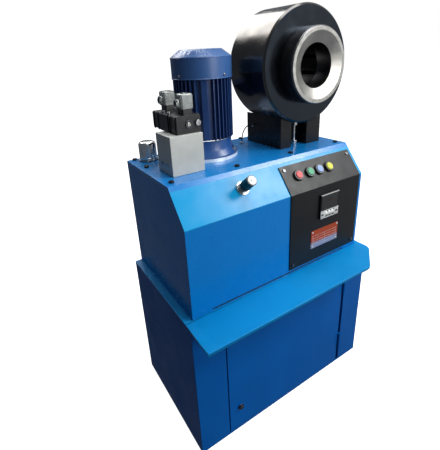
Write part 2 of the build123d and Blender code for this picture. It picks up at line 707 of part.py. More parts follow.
def make_counter_case():
    face = HOUSING_FRONT - PANEL_T
    half = COUNTER_W / 2
    case = span_box(COUNTER_X - half, COUNTER_X + half, face - COUNTER_BEZEL_T, face,
                    COUNTER_Z - half, COUNTER_Z + half)
    rim = case.faces().sort_by(Axis.Y)[0].edges()
    case = chamfer(rim, 1.5)
    inner = COUNTER_BODY_W / 2
    case += span_box(COUNTER_X - inner, COUNTER_X + inner, face, face + COUNTER_BODY_D,
                     COUNTER_Z - inner, COUNTER_Z + inner)
    case -= window_box(0)
    for index in range(WHEEL_COUNT):
        x = wheel_x(index)
        case -= span_box(x - WHEEL_PITCH / 2 + 0.8, x + WHEEL_PITCH / 2 - 0.8, face - COUNTER_BEZEL_T - 1,
                         wheel_axis_y() + WHEEL_R + 1, wheel_axis_z() - WHEEL_R - 0.5,
                         wheel_axis_z() + WHEEL_R + 0.5)
    axle_l = WHEEL_COUNT * WHEEL_PITCH + 6
    case += Pos(COUNTER_X, wheel_axis_y(), wheel_axis_z()) * Rot(0, 90, 0) * Cylinder(AXLE_R, axle_l)
    return case


def window_box(shrink):
    face = HOUSING_FRONT - PANEL_T - COUNTER_BEZEL_T
    half = COUNTER_W / 2 - WINDOW_MARGIN - shrink
    top = COUNTER_Z + COUNTER_W / 2 - WINDOW_MARGIN - shrink
    return span_box(COUNTER_X - half, COUNTER_X + half, face, face + WINDOW_T,
                    top - WINDOW_H + 2 * shrink, top)


def wheel_x(index):
    return COUNTER_X + (index - (WHEEL_COUNT - 1) / 2) * WHEEL_PITCH


def wheel_axis_y():
    return HOUSING_FRONT - PANEL_T - COUNTER_BEZEL_T - WHEEL_PROUD + WHEEL_R


def wheel_axis_z():
    return COUNTER_Z - WHEEL_DROP


def make_thumbwheel(index):
    """Number wheel with one flat for each digit."""
    place = Pos(wheel_x(index), wheel_axis_y(), wheel_axis_z()) * Rot(0, 90, 0)
    face = RegularPolygon(WHEEL_R, WHEEL_FACES) - Circle(AXLE_R + RUN)
    return place * Pos(0, 0, -WHEEL_T / 2) * extrude(face, WHEEL_T)


def make_rating_plate():
    face = HOUSING_FRONT - PANEL_T
    plate = span_box(RATING_X - RATING_W / 2, RATING_X + RATING_W / 2, face - RATING_T, face,
                     RATING_Z - RATING_H / 2, RATING_Z + RATING_H / 2)
    rivets = []
    for dx in (-1, 1):
        for dz in (-1, 1):
            x = RATING_X + dx * (RATING_W / 2 - RIVET_INSET)
            z = RATING_Z + dz * (RATING_H / 2 - RIVET_INSET)
            rivets.append(rod(along_y(x, face - RATING_T - RIVET_T, z), RIVET_R, RIVET_T))
    return group([plate] + rivets)


def gear_box(width, depth, height):
    """Closed unit that stands out to the front, from its left edge at mid height."""
    return Box(width, depth, height, align=(Align.MIN, Align.MAX, Align.CENTER))


def make_control_gear():
    """Back plate on two brackets, with contactor, overload relay, transformer and terminals."""
    low = TRAY_TOP + BACKPLATE_FOOT
    left = BACKPLATE_X - BACKPLATE_W / 2
    back = HOUSING_FRONT + BACKPLATE_SETBACK
    front = back - BACKPLATE_T
    plate = span_box(left, left + BACKPLATE_W, front, back, low, low + BACKPLATE_H)
    for x in (left, left + BACKPLATE_W - BACKPLATE_FOOT):
        plate += span_box(x, x + BACKPLATE_FOOT, front, back, TRAY_TOP, low)
    mid = low + CONTACTOR_RISE
    base = low + TERMINAL_RISE
    start = left + GEAR_INSET
    contactor = Pos(start, front, mid) * gear_box(CONTACTOR_W, CONTACTOR_D, CONTACTOR_H)
    start += CONTACTOR_W + GEAR_GAP
    overload = Pos(start, front, mid) * gear_box(CONTACTOR_W, OVERLOAD_D, OVERLOAD_H)
    start += CONTACTOR_W + 2 * GEAR_GAP
    transformer = Pos(start, front, mid) * gear_box(TRANSFORMER_W, TRANSFORMER_D, TRANSFORMER_H)
    terminals = Pos(left + GEAR_INSET, front, base + TERMINAL_H / 2) * gear_box(TERMINAL_L, TERMINAL_D,
                                                                                TERMINAL_H)
    return group([plate, contactor, overload, transformer, terminals])


def make_adjuster_base():
    place = SLOPE * Pos(ADJUSTER_X, ADJUSTER_UP_SLOPE, 0)
    base = rod(place, ADJUSTER_FLANGE_R, ADJUSTER_FLANGE_T)
    base += rod(place * Pos(0, 0, -SHEET), ADJUSTER_NECK_R, ADJUSTER_NECK_L + SHEET)
    return base - rod(place * Pos(0, 0, 2), 4 + RUN, ADJUSTER_NECK_L)


def make_adjuster_knob():
    start = ADJUSTER_NECK_L + SLIP
    place = SLOPE * Pos(ADJUSTER_X, ADJUSTER_UP_SLOPE, 0)
    knob = rod(place * Pos(0, 0, start), KNOB_R, KNOB_L)
    for step in range(KNOB_FLUTES):
        flute = place * Rot(0, 0, step * 360 / KNOB_FLUTES) * Pos(KNOB_R + 1.2, 0, start + 4)
        knob -= flute * Cylinder(2.2, KNOB_L, align=UP)
    knob -= rod(place * Pos(0, 0, start + KNOB_L - 1), DISC_R + FIT, 2)
    return knob + rod(place * Pos(0, 0, 3), 4, start)


def make_adjuster_disc():
    place = SLOPE * Pos(ADJUSTER_X, ADJUSTER_UP_SLOPE, ADJUSTER_NECK_L + SLIP + KNOB_L - 1)
    disc = rod(place, DISC_R, DISC_T)
    rim = disc.edges().filter_by(GeomType.CIRCLE).sort_by(Axis.Z)[-1]
    return chamfer(rim, 0.8)


# ---------------------------------------------------------------- motor and pump
def motor_place(z):
    return Pos(MOTOR_X, MOTOR_Y, z)


def make_motor_flange():
    """Flange with its spigot and the end shield's cone, which has a pocket for each bolt."""
    outline = [(BORE_R, 0), (FLANGE_R, 0), (FLANGE_R, FLANGE_T), (SHOULDER_R, FLANGE_T),
               (MOTOR_NECK_R, FLANGE_T + SHOULDER_H), (MOTOR_NECK_R, FLANGE_T + MOTOR_NECK_H),
               (BORE_R, FLANGE_T + MOTOR_NECK_H)]
    flange = turned(outline, motor_place(PLATE_TOP))
    flange += ring(motor_place(PLATE_UNDER), SPIGOT_R, BORE_R, PLATE_T)
    for step in range(FLANGE_BOLTS):
        turn = bolt_turn(step) * Pos(FLANGE_PCD_R, 0, 0)
        flange -= rod(motor_place(MOTOR_SEAT) * turn, BOLT_POCKET_R, MOTOR_NECK_H + 1)
        flange -= rod(motor_place(PLATE_TOP - 1) * turn, FLANGE_BOLT_R + FIT, FLANGE_T + 2)
    return flange


def bolt_turn(step):
    """Turn of a flange bolt, clear of the front pad."""
    return Rot(0, 0, (step + 0.5) * 360 / FLANGE_BOLTS)


def make_flange_bolts():
    bolts = []
    for step in range(FLANGE_BOLTS):
        place = motor_place(MOTOR_SEAT) * bolt_turn(step) * Pos(FLANGE_PCD_R, 0, 0)
        bolt = hexagon(place, FLANGE_BOLT_HEAD_R, FLANGE_BOLT_HEAD_T)
        bolts.append(bolt + rod(place * Pos(0, 0, -FLANGE_T), FLANGE_BOLT_R, FLANGE_T))
    return bolts


def make_motor_frame():
    """Finned aluminium frame with a smooth pad in front and one for the terminal box."""
    pads = (FRONT_PAD_ANGLE, BOX_ANGLE)
    profile = Circle(FRAME_CORE_R)
    for pad in pads:
        profile += Rot(0, 0, pad) * Pos(PAD_R / 2, 0) * Rectangle(PAD_R, PAD_W)
    clear = math.degrees(math.atan2(PAD_W / 2, PAD_R)) + FIN_STEP * 0.35
    for step in range(round(360 / FIN_STEP)):
        angle = step * FIN_STEP
        offs = [abs((angle - pad + 180) % 360 - 180) for pad in pads]
        if min(offs) > clear:
            profile += Rot(0, 0, angle) * Pos((FRAME_CORE_R + FIN_R) / 2 - 1, 0) * Rectangle(
                FIN_R - FRAME_CORE_R + 2, FIN_T)
    profile -= Circle(BORE_R)
    return motor_place(FRAME_FOOT) * extrude(profile, FRAME_H)


def make_terminal_box():
    turn = motor_place(FRAME_FOOT + FRAME_H / 2) * Rot(0, 0, BOX_ANGLE)
    box = turn * Pos((PAD_R + BOX_REACH) / 2, 0, 0) * Box(BOX_REACH - PAD_R, BOX_W, BOX_H)
    lid = turn * Pos(BOX_REACH, 0, 0) * Box(3, BOX_W + 4, BOX_H + 4, align=(Align.MIN, Align.CENTER,
                                                                           Align.CENTER))
    return box + lid


def make_fan_cowl():
    top = COWL_H + COWL_CROWN_H
    outer = [(0, 0), (COWL_R, 0), (COWL_R, COWL_H), (COWL_CROWN_R, top), (0, top)]
    cowl = turned(outer, motor_place(COWL_FOOT))
    inner = [(0, -1), (COWL_R - COWL_T, -1), (COWL_R - COWL_T, COWL_H - 1),
             (COWL_CROWN_R - COWL_T, top - COWL_T), (0, top - COWL_T)]
    cowl -= turned(inner, motor_place(COWL_FOOT))
    roof = motor_place(COWL_FOOT + top - COWL_T - 1)
    slot_l = COWL_CROWN_R - COWL_T - 3 - COWL_SLOT_START
    for step in range(COWL_SLOTS):
        slot = roof * Rot(0, 0, step * 360 / COWL_SLOTS) * Pos(COWL_SLOT_START, 0, 0)
        cowl -= slot * Box(slot_l, COWL_SLOT_W, COWL_T + 2, align=(Align.MIN, Align.CENTER, Align.MIN))
    seat = ring(motor_place(COWL_FOOT), COWL_R - COWL_T / 2, FRAME_CORE_R - 6, 3)
    return cowl + seat


def make_rotor():
    """Shaft with its core, from the pump coupling to the fan."""
    foot = PLATE_UNDER - BELL_H / 2
    top = COWL_FOOT + COWL_H - 4
    shaft = rod(motor_place(foot), SHAFT_R, top - foot)
    core = FRAME_FOOT + (FRAME_H - ROTOR_H) / 2
    shaft += rod(motor_place(core), ROTOR_R, ROTOR_H)
    coupling = ring(motor_place(foot - COUPLING_H / 2), COUPLING_R, SHAFT_R, COUPLING_H)
    return shaft + coupling


def make_cooling_fan():
    foot = COWL_FOOT + COWL_H - FAN_H - 14
    fan = ring(motor_place(foot), FAN_HUB_R, SHAFT_R, FAN_H)
    fan += ring(motor_place(foot), FAN_R * 0.8, SHAFT_R, 2.5)
    for step in range(FAN_BLADES):
        turn = motor_place(foot) * Rot(0, 0, step * 360 / FAN_BLADES)
        fan += turn * Pos(FAN_HUB_R - 1, 0, 0) * Box(FAN_R - FAN_HUB_R, 2.5, FAN_H,
                                                     align=(Align.MIN, Align.CENTER, Align.MIN))
    return fan


def make_bell_housing():
    bell = ring(motor_place(PLATE_UNDER - BELL_H), BELL_R, BELL_BORE_R, BELL_H)
    for turn in (0, 90):
        bell -= motor_place(PLATE_UNDER - BELL_H / 2) * Rot(0, 0, turn) * Box(2 * BELL_R + 4, 40, 40)
    return bell


def make_gear_pump():
    place = motor_place(PLATE_UNDER - BELL_H - PUMP_H)
    pump = place * Box(PUMP_W, PUMP_D, PUMP_H, align=UP)
    pump = chamfer(pump.edges().filter_by(Axis.Z), 10)
    return pump + rod(place * Pos(0, 0, PUMP_H), SPIGOT_R - 10, 8)


def make_tank_pipes():
    """Pressure pipe, return pipe and suction strainer, all inside the tank."""
    pump_z = PLATE_UNDER - BELL_H - PUMP_H / 2
    block_x = BLOCK_LEFT + BLOCK_W / 2
    block_y = BLOCK_FRONT + BLOCK_D / 2
    side = block_x + PIPE_GAP
    path = Polyline(
        (MOTOR_X - PUMP_W / 2, MOTOR_Y, pump_z),
        (side, MOTOR_Y, pump_z),
        (side, block_y, pump_z),
        (side, block_y, PLATE_UNDER),
    )
    start = Plane(origin=path @ 0, z_dir=path % 0)
    pressure = sweep(start * Circle(PIPE_R), path=path, transition=Transition.RIGHT)
    back_h = PLATE_UNDER - TRAY_TOP - RETURN_CLEAR
    returning = ring(Pos(block_x - PIPE_GAP, block_y, PLATE_UNDER - back_h), PIPE_R + 2, PIPE_R, back_h)
    foot = PLATE_UNDER - BELL_H - PUMP_H
    strainer = rod(motor_place(foot - 14), PIPE_R + 4, 14)
    strainer += rod(motor_place(foot - 14 - STRAINER_H), STRAINER_R, STRAINER_H)
    return group([pressure, returning, strainer])


# ---------------------------------------------------------------- breather
def make_breather_base():
    place = Pos(BREATHER_X, BREATHER_Y, PLATE_TOP)
    base = rod(place, BREATHER_FLANGE_R, BREATHER_FLANGE_T)
    base += rod(place * Pos(0, 0, -PLATE_T), NECK_R, PLATE_T + BREATHER_NECK_H)
    return base - rod(place * Pos(0, 0, -PLATE_T - 1), NECK_R - 2, PLATE_T + 2 + BREATHER_NECK_H)


def make_breather_cap():
    """Pressed cap with a domed top, upright slots round its skirt and an open underside."""
    place = Pos(BREATHER_X, BREATHER_Y, PLATE_TOP + BREATHER_FLANGE_T + SLIP)
    h = BREATHER_CAP_H
    r = BREATHER_CAP_R
    cap = turned([(0, 0), (r, 0), (r, h * 0.82), (r * 0.9, h * 0.93), (r * 0.7, h * 0.985), (0, h)], place)
    for step in range(BREATHER_SLOTS):
        slot = place * Rot(0, 0, step * 360 / BREATHER_SLOTS) * Pos(r - BREATHER_SLOT_DEPTH, 0, h * 0.18)
        cap -= slot * Box(r, BREATHER_SLOT_W, BREATHER_SLOT_H, align=(Align.MIN, Align.CENTER, Align.MIN))
    return cap - rod(place * Pos(0, 0, -1), NECK_R + SLIP, BREATHER_CAP_H * 0.7)


# ---------------------------------------------------------------- valve set
def make_manifold_block():
    block = span_box(BLOCK_LEFT, BLOCK_LEFT + BLOCK_W, BLOCK_FRONT, BLOCK_FRONT + BLOCK_D,
                     PLATE_TOP, VALVE_FOOT)
    return chamfer(block.edges(), 1.0)


def make_valve_body():
    front = VALVE_BODY_FRONT
    body = span_box(VALVE_LEFT, VALVE_LEFT + VALVE_W, front, front + VALVE_L, VALVE_FOOT,
                    VALVE_FOOT + VALVE_H)
    body = chamfer(body.edges().filter_by(Axis.Y), 1.5)
    body -= rod(along_y(VALVE_X, front - 1, VALVE_FOOT + VALVE_H / 2), SPOOL_R + RUN, VALVE_L + 2)
    for place in valve_screw_places():
        body -= rod(place * Pos(0, 0, -VALVE_H - 1), VALVE_SCREW_R + FIT, VALVE_H + 2)
    return body


def valve_screw_places():
    """Four socket screws through the valve body, on its top face."""
    mid = VALVE_BODY_FRONT + VALVE_L / 2
    return [Pos(VALVE_X + sx * VALVE_W * 0.36, mid + sy * VALVE_L * 0.33, VALVE_FOOT + VALVE_H)
            for sx in (-1, 1) for sy in (-1, 1)]


def make_valve_screws():
    screws = []
    for place in valve_screw_places():
        screw = rod(place, 2 * VALVE_SCREW_R, 5)
        screws.append(screw + rod(place * Pos(0, 0, -VALVE_H), VALVE_SCREW_R, VALVE_H))
    return screws


def make_valve_spool():
    """Spool with its lands, between the two coil armatures."""
    start = along_y(VALVE_X, VALVE_BODY_FRONT + SPOOL_STROKE + 1, VALVE_FOOT + VALVE_H / 2)
    length = VALVE_L - 2 * SPOOL_STROKE - 2
    spool = rod(start, SPOOL_R * 0.6, length)
    land = length / (2 * SPOOL_LANDS - 1)
    for index in range(SPOOL_LANDS):
        spool += rod(start * Pos(0, 0, 2 * index * land), SPOOL_R, land)
    return spool


def make_solenoid_coils():
    coils = []
    for front in COIL_FRONTS:
        coil = span_box(VALVE_LEFT + 2, VALVE_LEFT + VALVE_W - 2, front, front + COIL_L,
                        VALVE_FOOT, VALVE_FOOT + VALVE_H)
        coils.append(chamfer(coil.edges().filter_by(Axis.Y), 3))
    plug = along_y(PLUG_X, VALVE_FRONT - PLUG_T, VALVE_FOOT + VALVE_H / 2)
    coils.append(rod(plug, PLUG_R, PLUG_T))
    return coils


def connector_places():
    return [Pos(CONNECTOR_X, front + COIL_L / 2, VALVE_FOOT + VALVE_H) for front in COIL_FRONTS]


def make_connector_bases():
    bases = []
    for place in connector_places():
        base = place * Box(CONNECTOR_W - 4, CONNECTOR_W - 2, CONNECTOR_BASE_H, align=UP)
        bases.append(chamfer(base.edges().filter_by(Axis.Z), 2))
    return bases


def make_connector_hoods():
    """Clear plug hoods with a side cable outlet and a centre screw."""
    hoods = []
    for place in connector_places():
        seat = place * Pos(0, 0, CONNECTOR_BASE_H)
        hood = seat * Box(CONNECTOR_W, CONNECTOR_W + 2, CONNECTOR_H, align=UP)
        hood = chamfer(hood.edges().filter_by(Axis.Z), 3)
        hood = chamfer(hood.faces().sort_by(Axis.Z)[-1].edges(), 2.5)
        outlet = seat * Pos(-CONNECTOR_W / 2, 0, CONNECTOR_H * 0.36) * Rot(0, -90, 0)
        hood += outlet * Cylinder(8, 9, align=UP)
        hood += rod(seat * Pos(0, 0, CONNECTOR_H), 3, 1.5)
        hoods.append(hood)
    return group(hoods)


# ---------------------------------------------------------------- crimping head
def head_place(y):
    """Place on the head's axis whose Z runs to the back."""
    return along_y(HEAD_X, y, HEAD_Z)


def make_head_body():
    c = HEAD_CHAMFER
    outline = [(NOSE_R + FIT, 0), (HEAD_R - c, 0), (HEAD_R, c), (HEAD_R, HEAD_L - c),
               (HEAD_R - c, HEAD_L), (CYLINDER_R, HEAD_L), (CYLINDER_R, FRONT_WALL),
               (NOSE_R + FIT, FRONT_WALL)]
    body = turned(outline, head_place(HEAD_FRONT))
    for place in cover_bolt_places():
        body -= rod(place * Pos(0, 0, -20), COVER_BOLT_R + FIT, 21)
    body -= rod(Pos(TUBE_X, TUBE_Y, HEAD_Z - HEAD_R - 5), TUBE_R + FIT, 17)
    return body


def cover_bolt_places():
    """Bolt circle on the back face, with Z pointing out of the face."""
    return [head_place(HEAD_BACK) * Rot(0, 0, step * 360 / COVER_BOLTS) * Pos(COVER_BOLT_PCD_R, 0, 0)
            for step in range(COVER_BOLTS)]


def make_nose_ring():
    total = NOSE_L + FRONT_WALL
    c = NOSE_CHAMFER
    outline = [(THROAT_CONE_R, 0), (NOSE_R - c, 0), (NOSE_R, c), (NOSE_R, total), (THROAT_R, total),
               (THROAT_R, THROAT_CONE_L)]
    return turned(outline, head_place(HEAD_FRONT - NOSE_L))


def make_back_cover():
    """Cover that closes the cylinder, with a sleeve behind the jaws and a bolted flange."""
    rim = HEAD_R - HEAD_CHAMFER
    back = COVER_T + COVER_FLANGE_T
    outline = [(COVER_BORE_R, -SLEEVE_L), (SLEEVE_R, -SLEEVE_L), (SLEEVE_R, 0), (CYLINDER_R - FIT, 0),
               (CYLINDER_R - FIT, COVER_T), (rim, COVER_T), (rim, back), (COVER_BORE_R, back)]
    cover = turned(outline, head_place(COVER_FRONT))
    for place in cover_bolt_places():
        cover -= rod(place * Pos(0, 0, -1), COVER_BOLT_R + FIT, COVER_FLANGE_T + 2)
    return cover


def make_head_bolts():
    bolts = []
    for place in cover_bolt_places():
        seat = place * Pos(0, 0, COVER_FLANGE_T)
        bolts.append(rod(seat, 6.5, 8) + rod(seat * Pos(0, 0, -24), COVER_BOLT_R, 24))
    return bolts


def make_piston():
    """Annular piston whose inner cone closes the jaws as it comes forward."""
    back = COVER_FRONT - SLIP
    front = back - PISTON_L
    outer = CYLINDER_R - SLIP
    groove = outer - SEAL_DEPTH
    outline = [
        (cone_radius(front), 0),
        (outer, 0),
        (outer, PISTON_L - 2 * SEAL_W),
        (groove, PISTON_L - 2 * SEAL_W),
        (groove, PISTON_L - SEAL_W),
        (outer, PISTON_L - SEAL_W),
        (outer, PISTON_L),
        (cone_radius(back), PISTON_L),
    ]
    return turned(outline, head_place(front))


def make_piston_seal():
    groove = CYLINDER_R - SLIP - SEAL_DEPTH
    start = COVER_FRONT - SLIP - 2 * SEAL_W
    return ring(head_place(start + FIT), CYLINDER_R - RUN, groove + FIT, SEAL_W - 2 * FIT)


def make_jaw(index):
    """Wedge-shaped jaw with a guide pin on one side and a guide hole on the other.

    It is shaped closed, where it fills its sector, then drawn out to rest.
    """
    half = math.radians(180 / JAW_COUNT)
    length = JAW_BACK - JAW_FRONT
    inner = JAW_OPEN_R - JAW_STROKE
    back_r = CONE_REAR_R - SLIP - JAW_STROKE
    front_r = back_r + length * CONE_SLOPE
    body = turned([(inner, 0), (front_r, 0), (back_r, length), (inner, length)], Pos(0, 0, 0))
    apex = JAW_GAP / 2 / math.sin(half)
    reach = 2 * HEAD_R
    wedge = make_face(Polyline([(apex, 0), (reach, (reach - apex) * math.tan(half)),
                                (reach, -(reach - apex) * math.tan(half))], close=True))
    body &= extrude(wedge, length)
    side = math.degrees(half)
    pin_at = Rot(0, 0, side) * Pos(GUIDE_PIN_OUT, -JAW_GAP / 2, length / 2) * Rot(-90, 0, 0)
    hole_at = Rot(0, 0, -side) * Pos(GUIDE_PIN_OUT, JAW_GAP / 2, length / 2) * Rot(-90, 0, 0)
    body += pin_at * Pos(0, 0, -2) * Cylinder(GUIDE_PIN_R, GUIDE_PIN_REACH + 2, align=UP)
    body -= hole_at * Pos(0, 0, -1) * Cylinder(GUIDE_PIN_R + RUN, GUIDE_PIN_REACH + 3, align=UP)
    turn = Rot(0, 0, index * 360 / JAW_COUNT)
    return head_place(JAW_FRONT) * turn * Pos(JAW_STROKE, 0, 0) * body


# ---------------------------------------------------------------- saddle
def make_saddle():
    right = SADDLE_LEFT + SADDLE_W
    top = HEAD_Z - math.sqrt((HEAD_R + FIT) ** 2 - (HEAD_X - SADDLE_LEFT) ** 2)
    saddle = span_box(SADDLE_LEFT, right, SADDLE_FRONT, SADDLE_BACK, PLATE_TOP, top)
    saddle -= span_box(SADDLE_LEFT + SADDLE_LEG_LEFT_W, right - SADDLE_LEG_RIGHT_W, SADDLE_FRONT - 1,
                       SADDLE_FRONT + SADDLE_RECESS, PLATE_TOP - 1, top + 1)
    saddle -= rod(head_place(SADDLE_FRONT - 1), HEAD_R + FIT, SADDLE_BACK - SADDLE_FRONT + 2)
    for place in saddle_bolt_places():
        saddle -= rod(place, SADDLE_BOLT_R + FIT, 30)
    return saddle


def saddle_bolt_places():
    """Bolts that come up through the top plate into the saddle."""
    xs = (SADDLE_LEFT + 25, SADDLE_LEFT + SADDLE_W - 25)
    ys = (SADDLE_FRONT + 19, SADDLE_BACK - 25)
    return [Pos(x, y, PLATE_TOP) for x in xs for y in ys]


def make_saddle_bolts():
    bolts = []
    for place in saddle_bolt_places():
        bolt = hexagon(place * Pos(0, 0, -PLATE_T - 8), 10, 8)
        bolts.append(bolt + rod(place * Pos(0, 0, -PLATE_T), SADDLE_BOLT_R, PLATE_T + 28))
    return bolts


def make_machine_bolts():
    """Bolts of the saddle, the motor flange, the valve and the head's back cover."""
    return make_saddle_bolts() + make_flange_bolts() + make_valve_screws() + make_head_bolts()


def make_pressure_tube():
    """Steel tube from the top plate into the head, with a nut at each end."""
    top = HEAD_Z - HEAD_R + 8
    tube = rod(Pos(TUBE_X, TUBE_Y, PLATE_UNDER), TUBE_R, top - PLATE_UNDER)
    nut = hexagon(Pos(TUBE_X, TUBE_Y, PLATE_TOP), TUBE_NUT_R, TUBE_NUT_H)
    upper = hexagon(Pos(TUBE_X, TUBE_Y, HEAD_Z - HEAD_R - TUBE_NUT_H - FIT), TUBE_NUT_R, TUBE_NUT_H)
    return tube + nut + upper


# ---------------------------------------------------------------- assembly
def build():
    """Every node of the machine, by name."""
    frame_knuckles, door_knuckles = make_hinge_knuckles()
    plate = make_top_plate()
    for place in saddle_bolt_places():
        plate -= rod(place * Pos(0, 0, -PLATE_T - 1), SADDLE_BOLT_R + FIT, PLATE_T + 2)
    nodes = {
        "base_cabinet": make_base_cabinet(),
        "tool_tray": make_tool_tray(),
        "cabinet_door": make_cabinet_door(),
        "frame_knuckles": frame_knuckles,
        "door_fittings": group(door_knuckles + make_lock_case()),
        "lock_cam": make_lock_cam(),
        "tank_housing": make_tank_housing(),
        "top_plate": plate,
        "top_plate_screws": make_top_plate_screws(),
        "oil_tank": make_oil_tank(),
        "head_support": make_head_support(),
        "cable_gland": make_cable_gland(),
        "control_panel": make_control_panel(),
        "panel_screws": make_panel_screws(),
        "button_bodies": make_button_bodies(),
        "counter_case": make_counter_case(),
        "counter_window": window_box(FIT),
        "rating_plate": make_rating_plate(),
        "control_gear": make_control_gear(),
        "adjuster_base": make_adjuster_base(),
        "adjuster_knob": make_adjuster_knob(),
        "adjuster_disc": make_adjuster_disc(),
        "motor_flange": make_motor_flange(),
        "motor_frame": group([make_motor_frame(), make_terminal_box()]),
        "fan_cowl": make_fan_cowl(),
        "rotor": make_rotor(),
        "cooling_fan": make_cooling_fan(),
        "bell_housing": make_bell_housing(),
        "gear_pump": make_gear_pump(),
        "tank_pipes": make_tank_pipes(),
        "breather_base": make_breather_base(),
        "breather_cap": make_breather_cap(),
        "manifold_block": make_manifold_block(),
        "valve_body": make_valve_body(),
        "valve_spool": make_valve_spool(),
        "solenoid_coils": group(make_solenoid_coils() + make_connector_bases()),
        "connector_hoods": make_connector_hoods(),
        "head_body": make_head_body(),
        "nose_ring": make_nose_ring(),
        "back_cover": make_back_cover(),
        "piston": make_piston(),
        "piston_seal": make_piston_seal(),
        "saddle": make_saddle(),
        "machine_bolts": group(make_machine_bolts()),
        "pressure_tube": make_pressure_tube(),
    }
    for x, name in zip(BUTTON_XS, BUTTON_NAMES):
        nodes[name] = make_button(x)
    for index in range(WHEEL_COUNT):
        nodes[f"thumbwheel_{index + 1}"] = make_thumbwheel(index)
    for index in range(JAW_COUNT):
        nodes[f"jaw_{index + 1}"] = make_jaw(index)
    return nodes


os.makedirs("parts", exist_ok=True)
for node_name, shape in build().items():
    export_step(shape, f"parts/{node_name}.step")
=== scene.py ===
"""Looks of a hose crimping machine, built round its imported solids.

The frame gives every place and size. Each class dresses one sub-assembly: it adds the small
visible pieces that the solids leave out and gives every surface its finish.
"""

import logging
import math
from collections.abc import Iterable, Sequence
from dataclasses import dataclass, field
from enum import Enum, StrEnum
from functools import partial

import bmesh
import bpy
from mathutils import Matrix, Vector


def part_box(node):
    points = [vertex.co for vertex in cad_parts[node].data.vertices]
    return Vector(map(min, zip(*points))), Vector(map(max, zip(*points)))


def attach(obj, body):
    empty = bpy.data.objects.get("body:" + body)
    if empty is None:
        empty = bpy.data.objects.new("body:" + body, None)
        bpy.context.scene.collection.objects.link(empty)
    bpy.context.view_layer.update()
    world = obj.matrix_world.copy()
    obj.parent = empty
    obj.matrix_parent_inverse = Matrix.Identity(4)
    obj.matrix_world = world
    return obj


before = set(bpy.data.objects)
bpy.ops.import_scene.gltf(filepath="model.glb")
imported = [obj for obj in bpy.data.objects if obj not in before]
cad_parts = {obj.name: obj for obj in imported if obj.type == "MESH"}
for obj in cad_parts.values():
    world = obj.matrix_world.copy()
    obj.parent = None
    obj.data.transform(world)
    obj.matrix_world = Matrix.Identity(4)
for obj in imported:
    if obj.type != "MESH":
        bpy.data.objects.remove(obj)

LOG = logging.getLogger("crimping_machine")
MM = 0.001
COLOUR_A, COLOUR_B, COLOUR_OUT = 6, 7, 2  # sockets of a Mix node that mixes colours
WELD = 1e-6  # vertices closer than this are merged, in metres
SHARP_ANGLE = 35.0  # edges sharper than this stay sharp, in degrees
WAVE_PITCH = 0.314  # wave texture scale that gives one ring per unit
CAPITAL_SHARE = 0.72  # height of a figure in its font's size
Point = tuple[float, float, float]
Spot = tuple[float, float]
Shape = bmesh.types.BMesh
Tree = bpy.types.NodeTree
Socket = bpy.types.NodeSocket


class Body(StrEnum):
    """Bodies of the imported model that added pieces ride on."""

    MACHINE = "machine"
    DOOR = "door"
    LOCK = "lock_cam"
    CAP = "breather_cap"
    ADJUSTER = "adjuster"


class Axis(Enum):
    """Turn that brings +Z onto an axis of the machine."""

    UP = Matrix.Identity(4)
    BACK = Matrix.Rotation(math.radians(-90), 4, "X")
    FRONT = Matrix.Rotation(math.radians(90), 4, "X")
    RIGHT = Matrix.Rotation(math.radians(90), 4, "Y")
    LEFT = Matrix.Rotation(math.radians(-90), 4, "Y")


# ------------------------------------------------------------------ colour and nodes
def linear(code: str) -> tuple[float, float, float, float]:
    """Turn an sRGB hex code into a linear colour.

    Args:
        code: Six hex digits, without a sign in front.

    Returns:
        Linear red, green, blue and an alpha of 1.
    """
    parts = [int(code[i:i + 2], 16) / 255 for i in (0, 2, 4)]
    values = [p / 12.92 if p <= 0.04045 else ((p + 0.055) / 1.055) ** 2.4 for p in parts]
    return (values[0], values[1], values[2], 1.0)


def add_node(tree: Tree, kind: str, settings: dict[str, object] | None = None,
             inputs: dict[str | int, object] | None = None) -> bpy.types.Node:
    """Add one node with its settings, values and links.

    Args:
        tree: Node tree that gets the node.
        kind: Node type name.
        settings: Properties of the node itself.
        inputs: Socket name or number to a value, or to an output socket that feeds it.

    Returns:
        The new node.
    """
    node = tree.nodes.new(kind)
    for name, value in (settings or {}).items():
        setattr(node, name, value)
    for name, value in (inputs or {}).items():
        socket = node.inputs[name]
        if isinstance(value, Socket):
            tree.links.new(value, socket)
        else:
            socket.default_value = value
    return node


